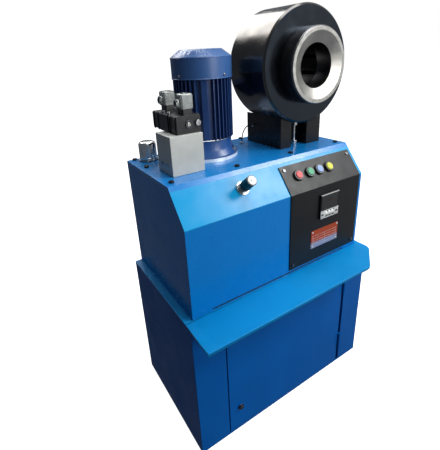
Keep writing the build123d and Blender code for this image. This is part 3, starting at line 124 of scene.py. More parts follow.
@dataclass(frozen=True)
class Finish:
    """One surface finish: a base colour that drifts a little, and a fine bump.

    Attributes:
        name: Common name of the material and how its surface was made.
        slot: Material slot of the record that a new piece takes its finish from; not used.
        colour: sRGB hex of the surface.
        drift: sRGB hex that the colour drifts towards in broad soft patches.
        drift_share: How far it drifts, from 0 to 1.
        drift_mm: Size of the patches.
        metallic: 1 for bare metal, 0 for paint and plastic.
        roughness: Middle roughness.
        roughness_swing: How far the roughness moves up and down.
        coat: Clear gloss layer on top.
        coat_roughness: Roughness of that layer.
        grain_mm: Spacing of the bump's grain.
        grain_depth_mm: Height of the bump.
        transmission: Share of light that goes through.
        glow: Own light, for a lens that looks lit from behind.
        specular: Strength of the reflection of a non-metal, 0.5 for an IOR of 1.5.
    """

    name: str
    slot: str
    colour: str
    drift: str = "808080"
    drift_share: float = 0.0
    drift_mm: float = 120.0
    metallic: float = 0.0
    roughness: float = 0.5
    roughness_swing: float = 0.06
    coat: float = 0.0
    coat_roughness: float = 0.1
    grain_mm: float = 2.0
    grain_depth_mm: float = 0.02
    transmission: float = 0.0
    glow: float = 0.0
    specular: float = 0.5

    def pattern(self, tree: Tree, spacing_mm: float, detail: float) -> Socket:
        """Soft noise with features about spacing_mm apart."""
        place = add_node(tree, "ShaderNodeTexCoord")
        noise = add_node(tree, "ShaderNodeTexNoise", None, {
            "Vector": place.outputs["Object"],
            "Scale": 1.0 / (spacing_mm * MM),
            "Detail": detail,
            "Roughness": 0.55,
        })
        return noise.outputs["Fac"]

    def bump_height(self, tree: Tree) -> Socket:
        """Height pattern of the surface; subclasses draw tool marks here."""
        return self.pattern(tree, self.grain_mm, 3.0)

    def tint(self, tree: Tree) -> Socket:
        """Share of the drift colour over the surface."""
        patches = self.pattern(tree, self.drift_mm, 4.0)
        spread = add_node(tree, "ShaderNodeMapRange", None, {
            "Value": patches, "From Min": 0.35, "From Max": 0.7, "To Min": 0.0, "To Max": self.drift_share,
        })
        return spread.outputs["Result"]

    def material(self) -> bpy.types.Material:
        """Build the material once and return it."""
        made = bpy.data.materials.get(self.name)
        if made:
            return made
        made = bpy.data.materials.new(self.name)
        made.use_nodes = True
        made.node_tree.nodes.clear()
        self.surface(made.node_tree)
        return made

    def base(self, tree: Tree) -> Socket:
        """Base colour over the surface."""
        blend = add_node(tree, "ShaderNodeMix", {"data_type": "RGBA"}, {
            "Factor": self.tint(tree), COLOUR_A: linear(self.colour), COLOUR_B: linear(self.drift),
        })
        return blend.outputs[COLOUR_OUT]

    def metal(self, tree: Tree) -> object:
        """Metallic share over the surface."""
        return self.metallic

    def surface(self, tree: Tree) -> None:
        """Link the shader's nodes."""
        smudge = add_node(tree, "ShaderNodeMapRange", None, {
            "Value": self.pattern(tree, self.drift_mm * 0.35, 5.0),
            "From Min": 0.3,
            "From Max": 0.7,
            "To Min": max(self.roughness - self.roughness_swing, 0.02),
            "To Max": min(self.roughness + self.roughness_swing, 1.0),
        })
        bump = add_node(tree, "ShaderNodeBump", None, {
            "Height": self.bump_height(tree), "Distance": self.grain_depth_mm * MM, "Strength": 1.0,
        })
        shader = add_node(tree, "ShaderNodeBsdfPrincipled", None, {
            "Base Color": self.base(tree),
            "Metallic": self.metal(tree),
            "Roughness": smudge.outputs["Result"],
            "Coat Weight": self.coat,
            "Coat Roughness": self.coat_roughness,
            "Transmission Weight": self.transmission,
            "Specular IOR Level": self.specular,
            "Normal": bump.outputs["Normal"],
        })
        if self.glow:
            shader.inputs["Emission Color"].default_value = linear(self.colour)
            shader.inputs["Emission Strength"].default_value = self.glow
        add_node(tree, "ShaderNodeOutputMaterial", None, {"Surface": shader.outputs["BSDF"]})


@dataclass(frozen=True)
class Zone:
    """Part of space that takes another colour: everything past a distance from a middle.

    Attributes:
        middle: Point the distance runs from, in metres.
        weigh: How much X, Y and Z count in the distance.
        limit_mm: Distance where the other colour starts.
        soft_mm: Half the width of the change.
        flat: Whether the distance is measured along weigh, from a plane, not all round.
    """

    middle: Point
    weigh: Point
    limit_mm: float
    soft_mm: float = 0.3
    flat: bool = False

    def mask(self, tree: Tree) -> Socket:
        """0 inside the limit, 1 past it."""
        place = add_node(tree, "ShaderNodeTexCoord")
        moved = add_node(tree, "ShaderNodeVectorMath", {"operation": "SUBTRACT"},
                         {0: place.outputs["Object"], 1: self.middle})
        way = "DOT_PRODUCT" if self.flat else "MULTIPLY"
        reach = add_node(tree, "ShaderNodeVectorMath", {"operation": way},
                         {0: moved.outputs["Vector"], 1: self.weigh})
        if not self.flat:
            reach = add_node(tree, "ShaderNodeVectorMath", {"operation": "LENGTH"},
                             {0: reach.outputs["Vector"]})
        step = add_node(tree, "ShaderNodeMapRange", {"interpolation_type": "SMOOTHSTEP"}, {
            "Value": reach.outputs["Value"],
            "From Min": (self.limit_mm - self.soft_mm) * MM,
            "From Max": (self.limit_mm + self.soft_mm) * MM,
        })
        return step.outputs["Result"]


@dataclass(frozen=True)
class TurnedFinish(Finish):
    """Metal turned on a lathe: fine rings round the head's axis, on faces and on cylinders.

    Attributes:
        axis_point: A point on the turning axis, which runs along Y.
        ring_mm: Spacing of the tool marks, drawn coarser than life so that they show.
        zone: Where the far colour starts, if there is one.
        far_colour: sRGB hex past the zone.
    """

    axis_point: Point = (0.0, 0.0, 0.0)
    ring_mm: float = 1.6
    zone: Zone | None = None
    far_colour: str = "303030"

    def base(self, tree: Tree) -> Socket:
        """Base colour, with the far colour past the zone."""
        near = Finish.base(self, tree)
        if not self.zone:
            return near
        blend = add_node(tree, "ShaderNodeMix", {"data_type": "RGBA"}, {
            "Factor": self.zone.mask(tree), COLOUR_A: near, COLOUR_B: linear(self.far_colour),
        })
        return blend.outputs[COLOUR_OUT]

    def bump_height(self, tree: Tree) -> Socket:
        """Rings by radius, plus bands along the axis."""
        place = add_node(tree, "ShaderNodeTexCoord")
        moved = add_node(tree, "ShaderNodeMapping", {"vector_type": "POINT"}, {
            "Vector": place.outputs["Object"], "Location": tuple(-c for c in self.axis_point),
        })
        waves = [add_node(tree, "ShaderNodeTexWave", {"wave_type": kind, f"{kind.lower()}_direction": "Y"}, {
            "Vector": moved.outputs["Vector"], "Scale": WAVE_PITCH / (self.ring_mm * MM),
            "Distortion": waver, "Detail": 2.0,
        }).outputs["Fac"] for kind, waver in (("RINGS", 0.6), ("BANDS", 0.4))]
        return add_node(tree, "ShaderNodeMath", {"operation": "ADD"}, dict(enumerate(waves))).outputs["Value"]


@dataclass(frozen=True)
class TwoFinish(Finish):
    """Paint on one part of a piece and bare metal on the rest; on the housing, the rest is the slope's
    painted paler sheen.

    Attributes:
        zone: Where the far finish starts.
        far_colour: sRGB hex past the zone.
        far_metallic: Metallic share past the zone.
    """

    zone: Zone | None = None
    far_colour: str = "808080"
    far_metallic: float = 1.0

    def base(self, tree: Tree) -> Socket:
        """Near colour inside the zone, far colour past it."""
        blend = add_node(tree, "ShaderNodeMix", {"data_type": "RGBA"}, {
            "Factor": self.zone.mask(tree), COLOUR_A: Finish.base(self, tree),
            COLOUR_B: linear(self.far_colour),
        })
        return blend.outputs[COLOUR_OUT]

    def metal(self, tree: Tree) -> object:
        """Metallic share on both sides of the zone's edge."""
        share = add_node(tree, "ShaderNodeMapRange", None, {
            "Value": self.zone.mask(tree), "To Min": self.metallic, "To Max": self.far_metallic,
        })
        return share.outputs["Result"]


# Where a piece changes colour; the solids give the places.
HEAD_LOW, HEAD_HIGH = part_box("head_body")
HEAD_AXIS = (HEAD_LOW + HEAD_HIGH) / 2
NOSE_LOW, NOSE_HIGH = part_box("nose_ring")
PLATE_LOW, PLATE_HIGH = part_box("rating_plate")
FLANGE_LOW, FLANGE_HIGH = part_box("motor_flange")
NOSE_FACE = Zone((HEAD_AXIS.x, NOSE_LOW.y, HEAD_AXIS.z), (1.0, 6.0, 1.0), 95.0, 0.8)
BODY_FRONT = Zone((0.0, HEAD_HIGH.y, 0.0), (0.0, 1.0, 0.0), (HEAD_HIGH.y - HEAD_LOW.y) / MM - 1.0, 0.5)
# Past the fold the housing's slope takes a paler blue: painted reflection of the light above.
SLOPE_PAINTED_SHEEN = Zone((0.0, -0.111, 0.655), (0.0, -0.7761, 0.6306), -1.2, 0.4, flat=True)
PRINT_SPLIT = Zone((0.0, 0.0, PLATE_HIGH.z), (0.0, 0.0, 1.0), 0.68 * (PLATE_HIGH.z - PLATE_LOW.z) / MM, 5.0)
SHIELD_FOOT = Zone((0.0, 0.0, FLANGE_HIGH.z), (0.0, 0.0, 1.0),
                   (FLANGE_HIGH.z - FLANGE_LOW.z) / MM - 19.0, 0.3)


enamel = partial(Finish, drift_share=0.6, grain_mm=3.5, grain_depth_mm=0.004)
lens = partial(Finish, drift_share=0.7, drift_mm=6.0, roughness=0.42, specular=0.3, grain_mm=2.0,
               grain_depth_mm=0.01, glow=0.12)
turned = partial(TurnedFinish, metallic=1.0, axis_point=tuple(HEAD_AXIS))


class Paint(Enum):
    """Enamels and powder coats: a faint orange peel breaks up their reflections."""

    # Deep even blue with soft, broad reflections; the housing's blue painted darker, as painted shade on the
    # cabinet under the tray.
    CABINET = enamel("blue_enamel_cabinet", "cabinet_blue", "004e94", "004486", drift_mm=160.0,
                     roughness=0.4, specular=0.1)
    # The cabinet's painted-shade blue, painted a shade lighter as painted light where the door catches it.
    DOOR = enamel("blue_enamel_door", "cabinet_blue", "005098", "004688", drift_mm=160.0,
                  roughness=0.4, specular=0.1)
    # The housing's blue painted brighter as painted light on the lit top, glossy enough to show the light
    # above.
    TRAY = enamel("blue_enamel_tray", "tray_blue", "007dba", "006aa6", drift_mm=160.0,
                  roughness=0.34, specular=0.2)
    # Glossy and slightly wavy, so reflections bend; the slope past the fold is painted paler, a painted
    # reflection of the light above.
    HOUSING = TwoFinish("blue_enamel_housing", "housing_blue", "006ab0", "0061a6", 0.6, 160.0,
                        roughness=0.26, roughness_swing=0.1, specular=0.24, grain_mm=45.0,
                        grain_depth_mm=0.22, zone=SLOPE_PAINTED_SHEEN, far_colour="0a86ba", far_metallic=0.0)
    # Smooth gloss that mirrors the lamps softly.
    PLATE = enamel("blue_enamel_top_plate", "plate_blue", "0a6cb0", "1677b6", roughness=0.24,
                   specular=0.45)
    # Plain matt blue, mostly in shade.
    SUPPORT = Finish("blue_enamel_frame", "plate_blue", "0a5fa0", "08528c", 0.6, 120.0, roughness=0.4)
    # Thick navy enamel with a fine casting grain under it.
    MOTOR = Finish("navy_enamel_on_aluminium", "motor_blue", "1b3868", "152e5a", 0.6, 60.0, roughness=0.34,
                   specular=0.4, grain_mm=1.6, grain_depth_mm=0.02)
    # Navy above, bare pale casting at the machined foot.
    SHIELD = TwoFinish("navy_enamel_over_cast_aluminium", "motor_blue", "1a4680", "143a6c", 0.6, 60.0,
                       roughness=0.3, grain_mm=1.6, grain_depth_mm=0.02, zone=SHIELD_FOOT,
                       far_colour="e6eaec", far_metallic=0.45)
    # Thinner, paler navy over smooth drawn sheet.
    COWL = Finish("navy_enamel_on_steel", "motor_blue", "34588c", "2c4e7e", 0.6, 60.0, roughness=0.34,
                  specular=0.4, grain_mm=2.4, grain_depth_mm=0.008)
    # Near black with a fine dry texture.
    PANEL = Finish("black_powder_coat", "panel_black", "050607", "0d0f11", 0.8, 90.0, roughness=0.4,
                   specular=0.3, grain_mm=1.2, grain_depth_mm=0.02)
    # Glossy black that picks up thin highlights on its edges.
    SADDLE = Finish("black_enamel_on_steel", "saddle_black", "050607", "0b0d10", 0.7, 60.0, roughness=0.28,
                    specular=0.4, grain_mm=2.5, grain_depth_mm=0.01)
    # Rust red print over a dull silver field.
    RATING = TwoFinish("printed_aluminium_plate", "rating_plate", "94381c", "843a22", 0.6, 14.0,
                       roughness=0.35, specular=0.2, grain_mm=2.0, grain_depth_mm=0.004, zone=PRINT_SPLIT,
                       far_colour="77809c", far_metallic=0.1)


class Metal(Enum):
    """Bare and plated metals."""

    # Dark satin with fine rings that stretch the highlights; darker in front.
    BODY = turned("blackened_turned_steel", "black_oxide", "6a6660", "3a3a3d", 0.75, 140.0, roughness=0.2,
                  roughness_swing=0.06, grain_depth_mm=0.002, ring_mm=2.4, zone=BODY_FRONT,
                  far_colour="3b4047")
    # Grey bright face in fine rings, blackened outside it.
    NOSE = turned("bright_and_blackened_turned_steel", "ground_steel", "aaa8a2", "8c8a85", 0.7, 50.0,
                  roughness=0.33, roughness_swing=0.08, grain_depth_mm=0.002, ring_mm=1.8, zone=NOSE_FACE,
                  far_colour="6a6a6c")
    # Bright thin ring round the face.
    RIM = turned("bright_turned_steel_rim", "ground_steel", "d8d5cf", "bdb9b0", 0.6, 40.0, roughness=0.3,
                 roughness_swing=0.07, grain_depth_mm=0.003, ring_mm=1.6)
    # Smooth satin funnel that shades round the throat.
    CONE = turned("turned_steel_cone", "ground_steel", "aaa8a2", "8c8a85", 0.7, 50.0, roughness=0.36,
                  roughness_swing=0.08, grain_depth_mm=0.001, ring_mm=1.8)
    # Long clean highlights along the tube.
    TUBE = Finish("drawn_zinc_plated_tube", "zinc_steel", "d2d2cf", "b0afa9", 0.5, 30.0, metallic=1.0,
                  roughness=0.26, grain_mm=4.0, grain_depth_mm=0.004)
    # Clean bright steel with fine tool marks.
    BRIGHT = turned("bright_turned_steel", "ground_steel", "d6d2ca", "b9b4aa", 0.6, 50.0, roughness=0.24,
                    roughness_swing=0.07, grain_depth_mm=0.004, ring_mm=1.8)
    # Dark, dull grey jaws.
    HARDENED = turned("hardened_ground_steel", "hardened_steel", "242322", "181716", 0.6, 30.0,
                      roughness=0.45, grain_depth_mm=0.003)
    # Pale silver with a light, cloudy sheen.
    ZINC = Finish("zinc_plated_steel", "zinc_steel", "b4b6b8", "93938f", 0.5, 30.0, metallic=1.0,
                  roughness=0.3, grain_mm=0.9, grain_depth_mm=0.01)
    # Flat light grey, more like stone than a mirror.
    ALUMINIUM = Finish("milled_aluminium", "cast_aluminium", "b3b5b0", "a3a6a2", 0.7, 45.0, metallic=0.3,
                       roughness=0.5, grain_mm=0.8, grain_depth_mm=0.012)
    # Bright, slightly uneven silver.
    CAST = Finish("machined_cast_aluminium", "cast_aluminium", "d2d6d8", "b4b9bd", 0.5, 25.0, metallic=1.0,
                  roughness=0.28, grain_mm=1.8, grain_depth_mm=0.02)
    # Near mirror.
    CHROME = Finish("polished_chrome", "chrome", "e6e6e2", "c8c6c0", 0.5, 18.0, metallic=1.0,
                    roughness=0.2, roughness_swing=0.04, grain_mm=5.0, grain_depth_mm=0.01)
    # Worn dark metal with brighter patches.
    DULL = Finish("worn_blackened_steel", "black_oxide", "54565a", "3a3b3d", 0.7, 20.0, metallic=1.0,
                  roughness=0.3, grain_mm=1.5, grain_depth_mm=0.006)
    # Grey metal without a clear reflection.
    DULL_CHROME = Finish("dulled_chrome", "chrome", "6c6e70", "4a4b4d", 0.7, 9.0, metallic=1.0,
                         roughness=0.35, grain_mm=3.0, grain_depth_mm=0.01)
    # Almost black and grainy.
    PHOSPHATED = Finish("phosphated_cast_iron", "cast_iron", "141516", "1f2020", 0.6, 20.0, metallic=0.2,
                        roughness=0.4, grain_mm=1.3, grain_depth_mm=0.03)
    # Black screw heads with a faint shine.
    SCREW = Finish("black_oxide_screw_steel", "black_oxide", "141416", "202022", 0.5, 10.0, metallic=0.6,
                   roughness=0.4, grain_mm=0.8, grain_depth_mm=0.01)


class Plastic(Enum):
    """Moulded plastics, rubber and print."""

    # Black with a soft sheen.
    BLACK = Finish("black_moulded_abs", "black_plastic", "0b0c0d", "131416", 0.6, 18.0, roughness=0.34,
                   grain_mm=0.8, grain_depth_mm=0.012)
    # Black with a fine moulded texture.
    COIL = Finish("black_moulded_polyamide", "black_plastic", "101213", "1b1c1d", 0.6, 14.0, roughness=0.32,
                  grain_mm=1.0, grain_depth_mm=0.02)
    # Light matt grey.
    GREY = Finish("grey_moulded_abs", "grey_plastic", "b4b6b5", "a5a7a6", 0.5, 20.0, roughness=0.45,
                  grain_mm=0.8, grain_depth_mm=0.02)
    # Clean white with a soft sheen.
    WHITE = Finish("white_moulded_abs", "white_plastic", "e6e7e3", "d3d4d0", 0.5, 10.0, roughness=0.35,
                   grain_mm=0.8, grain_depth_mm=0.006)
    # Black glass with a sharp reflection.
    SMOKED = Finish("smoked_acrylic", "dark_window", "07090a", "0e1113", 0.6, 20.0, roughness=0.14, coat=0.3,
                    roughness_swing=0.03, grain_mm=8.0, grain_depth_mm=0.004)
    # Cloudy and half see-through.
    CLEAR = Finish("clear_polycarbonate", "clear_plastic", "b9bfbb", "8e9490", 0.8, 9.0, roughness=0.2,
                   coat=0.5, transmission=0.45, grain_mm=3.0, grain_depth_mm=0.05)
    # Dark red figures that hardly show when off.
    DISPLAY = Finish("dim_display_figures", "dark_window", "2c1211", "241010", 0.4, 6.0, roughness=0.3,
                     grain_mm=2.0, grain_depth_mm=0.001)
    # Dusty red that looks faintly lit from behind, as all four lenses do.
    RED = lens("red_lens_acrylic", "red_plastic", "b8484c", "a03438")
    # Sea green.
    GREEN = lens("green_lens_acrylic", "green_plastic", "3f8f6c", "2f7a58")
    # Pale blue.
    BLUE = lens("pale_blue_lens_acrylic", "blue_plastic", "7890b8", "60789f")
    # Greenish yellow.
    YELLOW = lens("yellow_lens_acrylic", "yellow_plastic", "b8bc38", "a09c26")
    # Matt black line without a highlight; the strip behind the drain slot is painted shadow.
    RUBBER = Finish("nitrile_rubber", "rubber", "0c0c0c", "161616", 0.5, 10.0, roughness=0.7, grain_mm=1.0,
                    grain_depth_mm=0.03)
    # Flat black print; on the lock it is the key slot's painted shade.
    INK = Finish("black_printed_ink", "black_plastic", "121416", "1b1d1f", 0.3, 5.0, roughness=0.5,
                 grain_mm=1.0, grain_depth_mm=0.001)
    # Flat pale print.
    PALE_INK = Finish("pale_printed_ink", "white_plastic", "c8c9c4", "b2b3ae", 0.5, 4.0, roughness=0.5,
                      grain_mm=1.0, grain_depth_mm=0.001)


NODE_FINISH: dict[str, Enum] = {
    "base_cabinet": Paint.CABINET,
    "cabinet_door": Paint.DOOR,
    "tool_tray": Paint.TRAY,
    "tank_housing": Paint.HOUSING,
    "top_plate": Paint.PLATE,
    "head_support": Paint.SUPPORT,
    "oil_tank": Metal.ZINC,
    "top_plate_screws": Metal.SCREW,
    "frame_knuckles": Paint.CABINET,
    "door_fittings": Paint.DOOR,
    "lock_cam": Metal.DULL_CHROME,
    "cable_gland": Plastic.BLACK,
    "control_panel": Paint.PANEL,
    "panel_screws": Metal.DULL_CHROME,
    "button_bodies": Plastic.BLACK,
    "button_red": Plastic.RED,
    "button_green": Plastic.GREEN,
    "button_blue": Plastic.BLUE,
    "button_yellow": Plastic.YELLOW,
    "counter_case": Plastic.BLACK,
    "counter_window": Plastic.SMOKED,
    "control_gear": Plastic.GREY,
    "adjuster_base": Metal.ZINC,
    "adjuster_knob": Plastic.BLACK,
    "adjuster_disc": Plastic.WHITE,
    "motor_flange": Paint.SHIELD,
    "motor_frame": Paint.MOTOR,
    "fan_cowl": Paint.COWL,
    "rotor": Metal.BRIGHT,
    "cooling_fan": Plastic.BLACK,
    "bell_housing": Metal.CAST,
    "gear_pump": Metal.CAST,
    "tank_pipes": Metal.ZINC,
    "breather_base": Metal.ZINC,
    "breather_cap": Metal.CHROME,
    "manifold_block": Metal.ALUMINIUM,
    "valve_body": Metal.PHOSPHATED,
    "valve_spool": Metal.BRIGHT,
    "solenoid_coils": Plastic.COIL,
    "connector_hoods": Plastic.CLEAR,
    "head_body": Metal.BODY,
    "nose_ring": Metal.NOSE,
    "back_cover": Metal.BODY,
    "rating_plate": Paint.RATING,
    "piston": Metal.HARDENED,
    "piston_seal": Plastic.RUBBER,
    "saddle": Paint.SADDLE,
    "machine_bolts": Metal.ZINC,
    "pressure_tube": Metal.TUBE,
}


# ------------------------------------------------------------------ mesh making
def new_object(name: str, data: bpy.types.ID) -> bpy.types.Object:
    """Add an object to the scene."""
    made = bpy.data.objects.new(name, data)
    bpy.context.scene.collection.objects.link(made)
    return made


def add_piece(name: str, look: Enum, shapes: Sequence[Shape],
              body: str = Body.MACHINE) -> bpy.types.Object:
    """Turn shapes into one piece that rides on a body.

    Args:
        name: Name of the piece.
        look: Its surface.
        shapes: Its parts, already in their places. They are used up.
        body: Name of the body that carries it.

    Returns:
        The new object.
    """
    data = bpy.data.meshes.new(name)
    mesh = join(shapes) if len(shapes) > 1 else shapes[0]
    bmesh.ops.remove_doubles(mesh, verts=mesh.verts, dist=WELD)
    bmesh.ops.recalc_face_normals(mesh, faces=mesh.faces)
    mesh.to_mesh(data)
    mesh.free()
    data.shade_smooth()
    data.set_sharp_from_angle(angle=math.radians(SHARP_ANGLE))
    piece = new_object(name, data)
    finish = look.value
    data.materials.append(finish.material())
    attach(piece, body)
    LOG.info("piece %s rides on %s", name, body)
    return piece


def join(shapes: Sequence[Shape]) -> Shape:
    """Put several shapes into one bmesh."""
    whole = bmesh.new()
    for shape in shapes:
        spare = bpy.data.meshes.new("spare")
        shape.to_mesh(spare)
        shape.free()
        whole.from_mesh(spare)
        bpy.data.meshes.remove(spare)
    return whole


def taken_mesh(curve: bpy.types.Curve) -> Shape:
    """Turn a curve or a text into a bmesh and remove the curve's object."""
    holder = new_object(curve.name, curve)
    bpy.context.view_layer.update()
    made = bpy.data.meshes.new_from_object(holder)
    mesh = bmesh.new()
    mesh.from_mesh(made)
    bpy.data.objects.remove(holder)
    bpy.data.meshes.remove(made)
    return mesh


def shift(x: float, y: float, z: float) -> Matrix:
    """Move by millimetres."""
    return Matrix.Translation(Vector((x, y, z)) * MM)


def spin_about(angle: float, axis: str = "Z") -> Matrix:
    """Turn by degrees."""
    return Matrix.Rotation(math.radians(angle), 4, axis)


def stands(x: float, y: float, z: float, axis: Axis = Axis.UP) -> Matrix:
    """Place at a point in millimetres whose Z runs along an axis."""
    return shift(x, y, z) @ axis.value


def box_mm(node: str) -> tuple[Vector, Vector]:
    """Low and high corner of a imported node, in millimetres."""
    low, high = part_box(node)
    return low / MM, high / MM


def centre(node: str) -> Vector:
    """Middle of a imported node's box, in millimetres."""
    low, high = box_mm(node)
    return (low + high) / 2


def spun(outline: Iterable[Spot], place: Matrix, steps: int = 72) -> Shape:
    """Spin a (radius, height) outline in millimetres round the place's Z.

    Args:
        outline: Points from one end of the outline to the other.
        place: Where the axis stands.
        steps: Facets round the turn.

    Returns:
        A closed bmesh where the outline starts and ends on the axis or is itself closed.
    """
    mesh = bmesh.new()
    points = [mesh.verts.new((radius * MM, 0.0, height * MM)) for radius, height in outline]
    edges = [mesh.edges.new(pair) for pair in zip(points, points[1:])]
    bmesh.ops.spin(mesh, geom=points + edges, cent=(0, 0, 0), axis=(0, 0, 1),
                   angle=math.tau, steps=steps, use_merge=True)
    bmesh.ops.remove_doubles(mesh, verts=mesh.verts, dist=1e-7)
    bmesh.ops.transform(mesh, matrix=place, verts=mesh.verts)
    return mesh


def block(size: Point, place: Matrix, bevel: float = 0.0, segments: int = 2) -> Shape:
    """Box round a place, with rounded edges, in millimetres."""
    mesh = bmesh.new()
    bmesh.ops.create_cube(mesh, size=1.0)
    bmesh.ops.scale(mesh, vec=Vector(size) * MM, verts=mesh.verts)
    if bevel:
        bmesh.ops.bevel(mesh, geom=mesh.edges[:], offset=bevel * MM, offset_type="OFFSET",
                        affect="EDGES", segments=segments, profile=0.5, material=-1)
    bmesh.ops.transform(mesh, matrix=place, verts=mesh.verts)
    return mesh


def ring(outer: float, inner: float, low: float, high: float, place: Matrix, steps: int = 96,
         ease: float = 0.4) -> Shape:
    """Flat ring with eased outer edges, in millimetres."""
    return spun([(inner, low), (outer - ease, low), (outer, low + ease), (outer, high - ease),
                 (outer - ease, high), (inner, high), (inner, low)], place, steps)


def disc(radius: float, thick: float, place: Matrix, ease: float = 0.3,
         steps: int = 48) -> Shape:
    """Round plate with an eased rim, in millimetres, standing on its place."""
    return spun([(0.0, 0.0), (radius, 0.0), (radius, thick - ease), (radius - ease, thick),
                 (0.0, thick)], place, steps)


def arc(middle: Spot, radius: float, start: float, stop: float, steps: int = 6) -> list[Spot]:
    """Points of an arc in an outline, with angles in degrees."""
    turns = [math.radians(start + (stop - start) * i / steps) for i in range(steps + 1)]
    return [(middle[0] + radius * math.cos(t), middle[1] + radius * math.sin(t)) for t in turns]


def bead(start: Point, stop: Point, radius: float, pitch: float = 2.4) -> Shape:
    """Weld bead of overlapping scales from one point to another, in millimetres."""
    along = Vector(stop) - Vector(start)
    count = max(2, int(along.length / pitch))
    outline = [(0.0, 0.0)]
    for step in range(count):
        base = along.length * step / count
        outline += [(radius * 0.82, base + along.length * 0.1 / count),
                    (radius, base + along.length * 0.6 / count)]
    outline.append((0.0, along.length))
    return spun(outline, shift(*start) @ along.to_track_quat("Z", "Y").to_matrix().to_4x4(), 10)


def lead(points: Sequence[Point], radius: float) -> Shape:
    """Round lead along a smooth run of points, in millimetres."""
    curve = bpy.data.curves.new("lead", "CURVE")
    curve.dimensions = "3D"
    curve.bevel_depth = radius * MM
    curve.bevel_resolution = 3
    curve.use_fill_caps = True
    line = curve.splines.new("BEZIER")
    line.bezier_points.add(len(points) - 1)
    for knot, point in zip(line.bezier_points, points):
        knot.co = Vector(point) * MM
        knot.handle_left_type = knot.handle_right_type = "AUTO"
    return taken_mesh(curve)


def figures(words: str, height: float, depth: float, place: Matrix) -> Shape:
    """Raised plain figures, as a mesh centred on a place, in millimetres."""
    curve = bpy.data.curves.new("figures", "FONT")
    curve.body = words
    curve.size = height * MM / CAPITAL_SHARE
    curve.extrude = depth * MM / 2
    curve.align_x = "CENTER"
    curve.align_y = "CENTER"
    mesh = taken_mesh(curve)
    bmesh.ops.transform(mesh, matrix=place, verts=mesh.verts)
    return mesh


# ------------------------------------------------------------------ solids kept as they are
@dataclass
class Solids:
    """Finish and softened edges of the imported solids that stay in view.

    Attributes:
        usual_edge_mm: Width of the broken edge on most nodes.
        edge_mm: Width of the broken edge on each node where it isn't the usual one.
        sharp_angle: Edges that turn more than this are broken, in degrees.
    """

    usual_edge_mm: float = 0.4
    edge_mm: dict[str, float] = field(default_factory=lambda: {
        "base_cabinet": 1.2, "cabinet_door": 1.2, "tank_housing": 1.4, "top_plate": 0.9, "saddle": 1.5,
        "control_panel": 0.8, "manifold_block": 0.0, "head_body": 1.0, "tool_tray": 0.0,
        "motor_frame": 0.6, "fan_cowl": 0.8, "machine_bolts": 0.5, "motor_flange": 1.0,
    })
    sharp_angle: float = 38.0

    def dress(self) -> None:
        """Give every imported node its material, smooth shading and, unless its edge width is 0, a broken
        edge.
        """
        for name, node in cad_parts.items():
            node.data.materials.clear()
            node.data.materials.append(self.finish(name).material())
            node.data.polygons.foreach_set("use_smooth", [True] * len(node.data.polygons))
            self.soften(node, self.edge_mm.get(name, self.usual_edge_mm) * MM)
        LOG.info("dressed %d solids", len(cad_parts))

    def finish(self, name: str) -> Finish:
        """Finish of a node, with one rule for what repeats."""
        if name.startswith("jaw_"):
            return Metal.HARDENED.value
        if name.startswith("thumbwheel_"):
            return Plastic.WHITE.value
        return NODE_FINISH[name].value

    def soften(self, node: bpy.types.Object, width: float) -> None:
        """Weld the loose triangles, merge flat ones and bevel the sharp edges.

        Args:
            node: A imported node. Its mesh stays as it is under the modifiers.
            width: Width of the broken edge in metres, or 0 for none.
        """
        self.modify(node, "weld", "WELD", merge_threshold=2e-6)
        self.modify(node, "flat", "DECIMATE", decimate_type="DISSOLVE", angle_limit=math.radians(0.3))
        if width:
            self.modify(node, "edge", "BEVEL", width=width, segments=2, limit_method="ANGLE",
                        angle_limit=math.radians(self.sharp_angle), harden_normals=False,
                        use_clamp_overlap=True)
        self.modify(node, "normals", "WEIGHTED_NORMAL", keep_sharp=False, weight=50)

    def modify(self, node: bpy.types.Object, name: str, kind: str, **settings: object) -> None:
        """Add one modifier with its settings."""
        modifier = node.modifiers.new(name, kind)
        for key, value in settings.items():
            setattr(modifier, key, value)


# ------------------------------------------------------------------ sub-assemblies, in millimetres
@dataclass
class Slope:
    """The slanted part of the front, where the buttons and the adjuster stand.

    Attributes:
        foot: Front and height of the fold.
        run: How far the slope goes back.
        rise: How far it goes up.
    """

    foot: Spot = (-111.0, 655.0)
    run: float = 65.0
    rise: float = 80.0

    def place(self, x: float, along: float) -> Matrix:
        """Place on the slope whose Z stands out of it and whose Y runs up it."""
        length = math.hypot(self.run, self.rise)
        up = Vector((0.0, self.run, self.rise)) / length
        out = Vector((0.0, -self.rise, self.run)) / length
        turn = Matrix((Vector((1.0, 0.0, 0.0)), up, out)).transposed().to_4x4()
        return shift(*(Vector((x, *self.foot)) + up * along)) @ turn


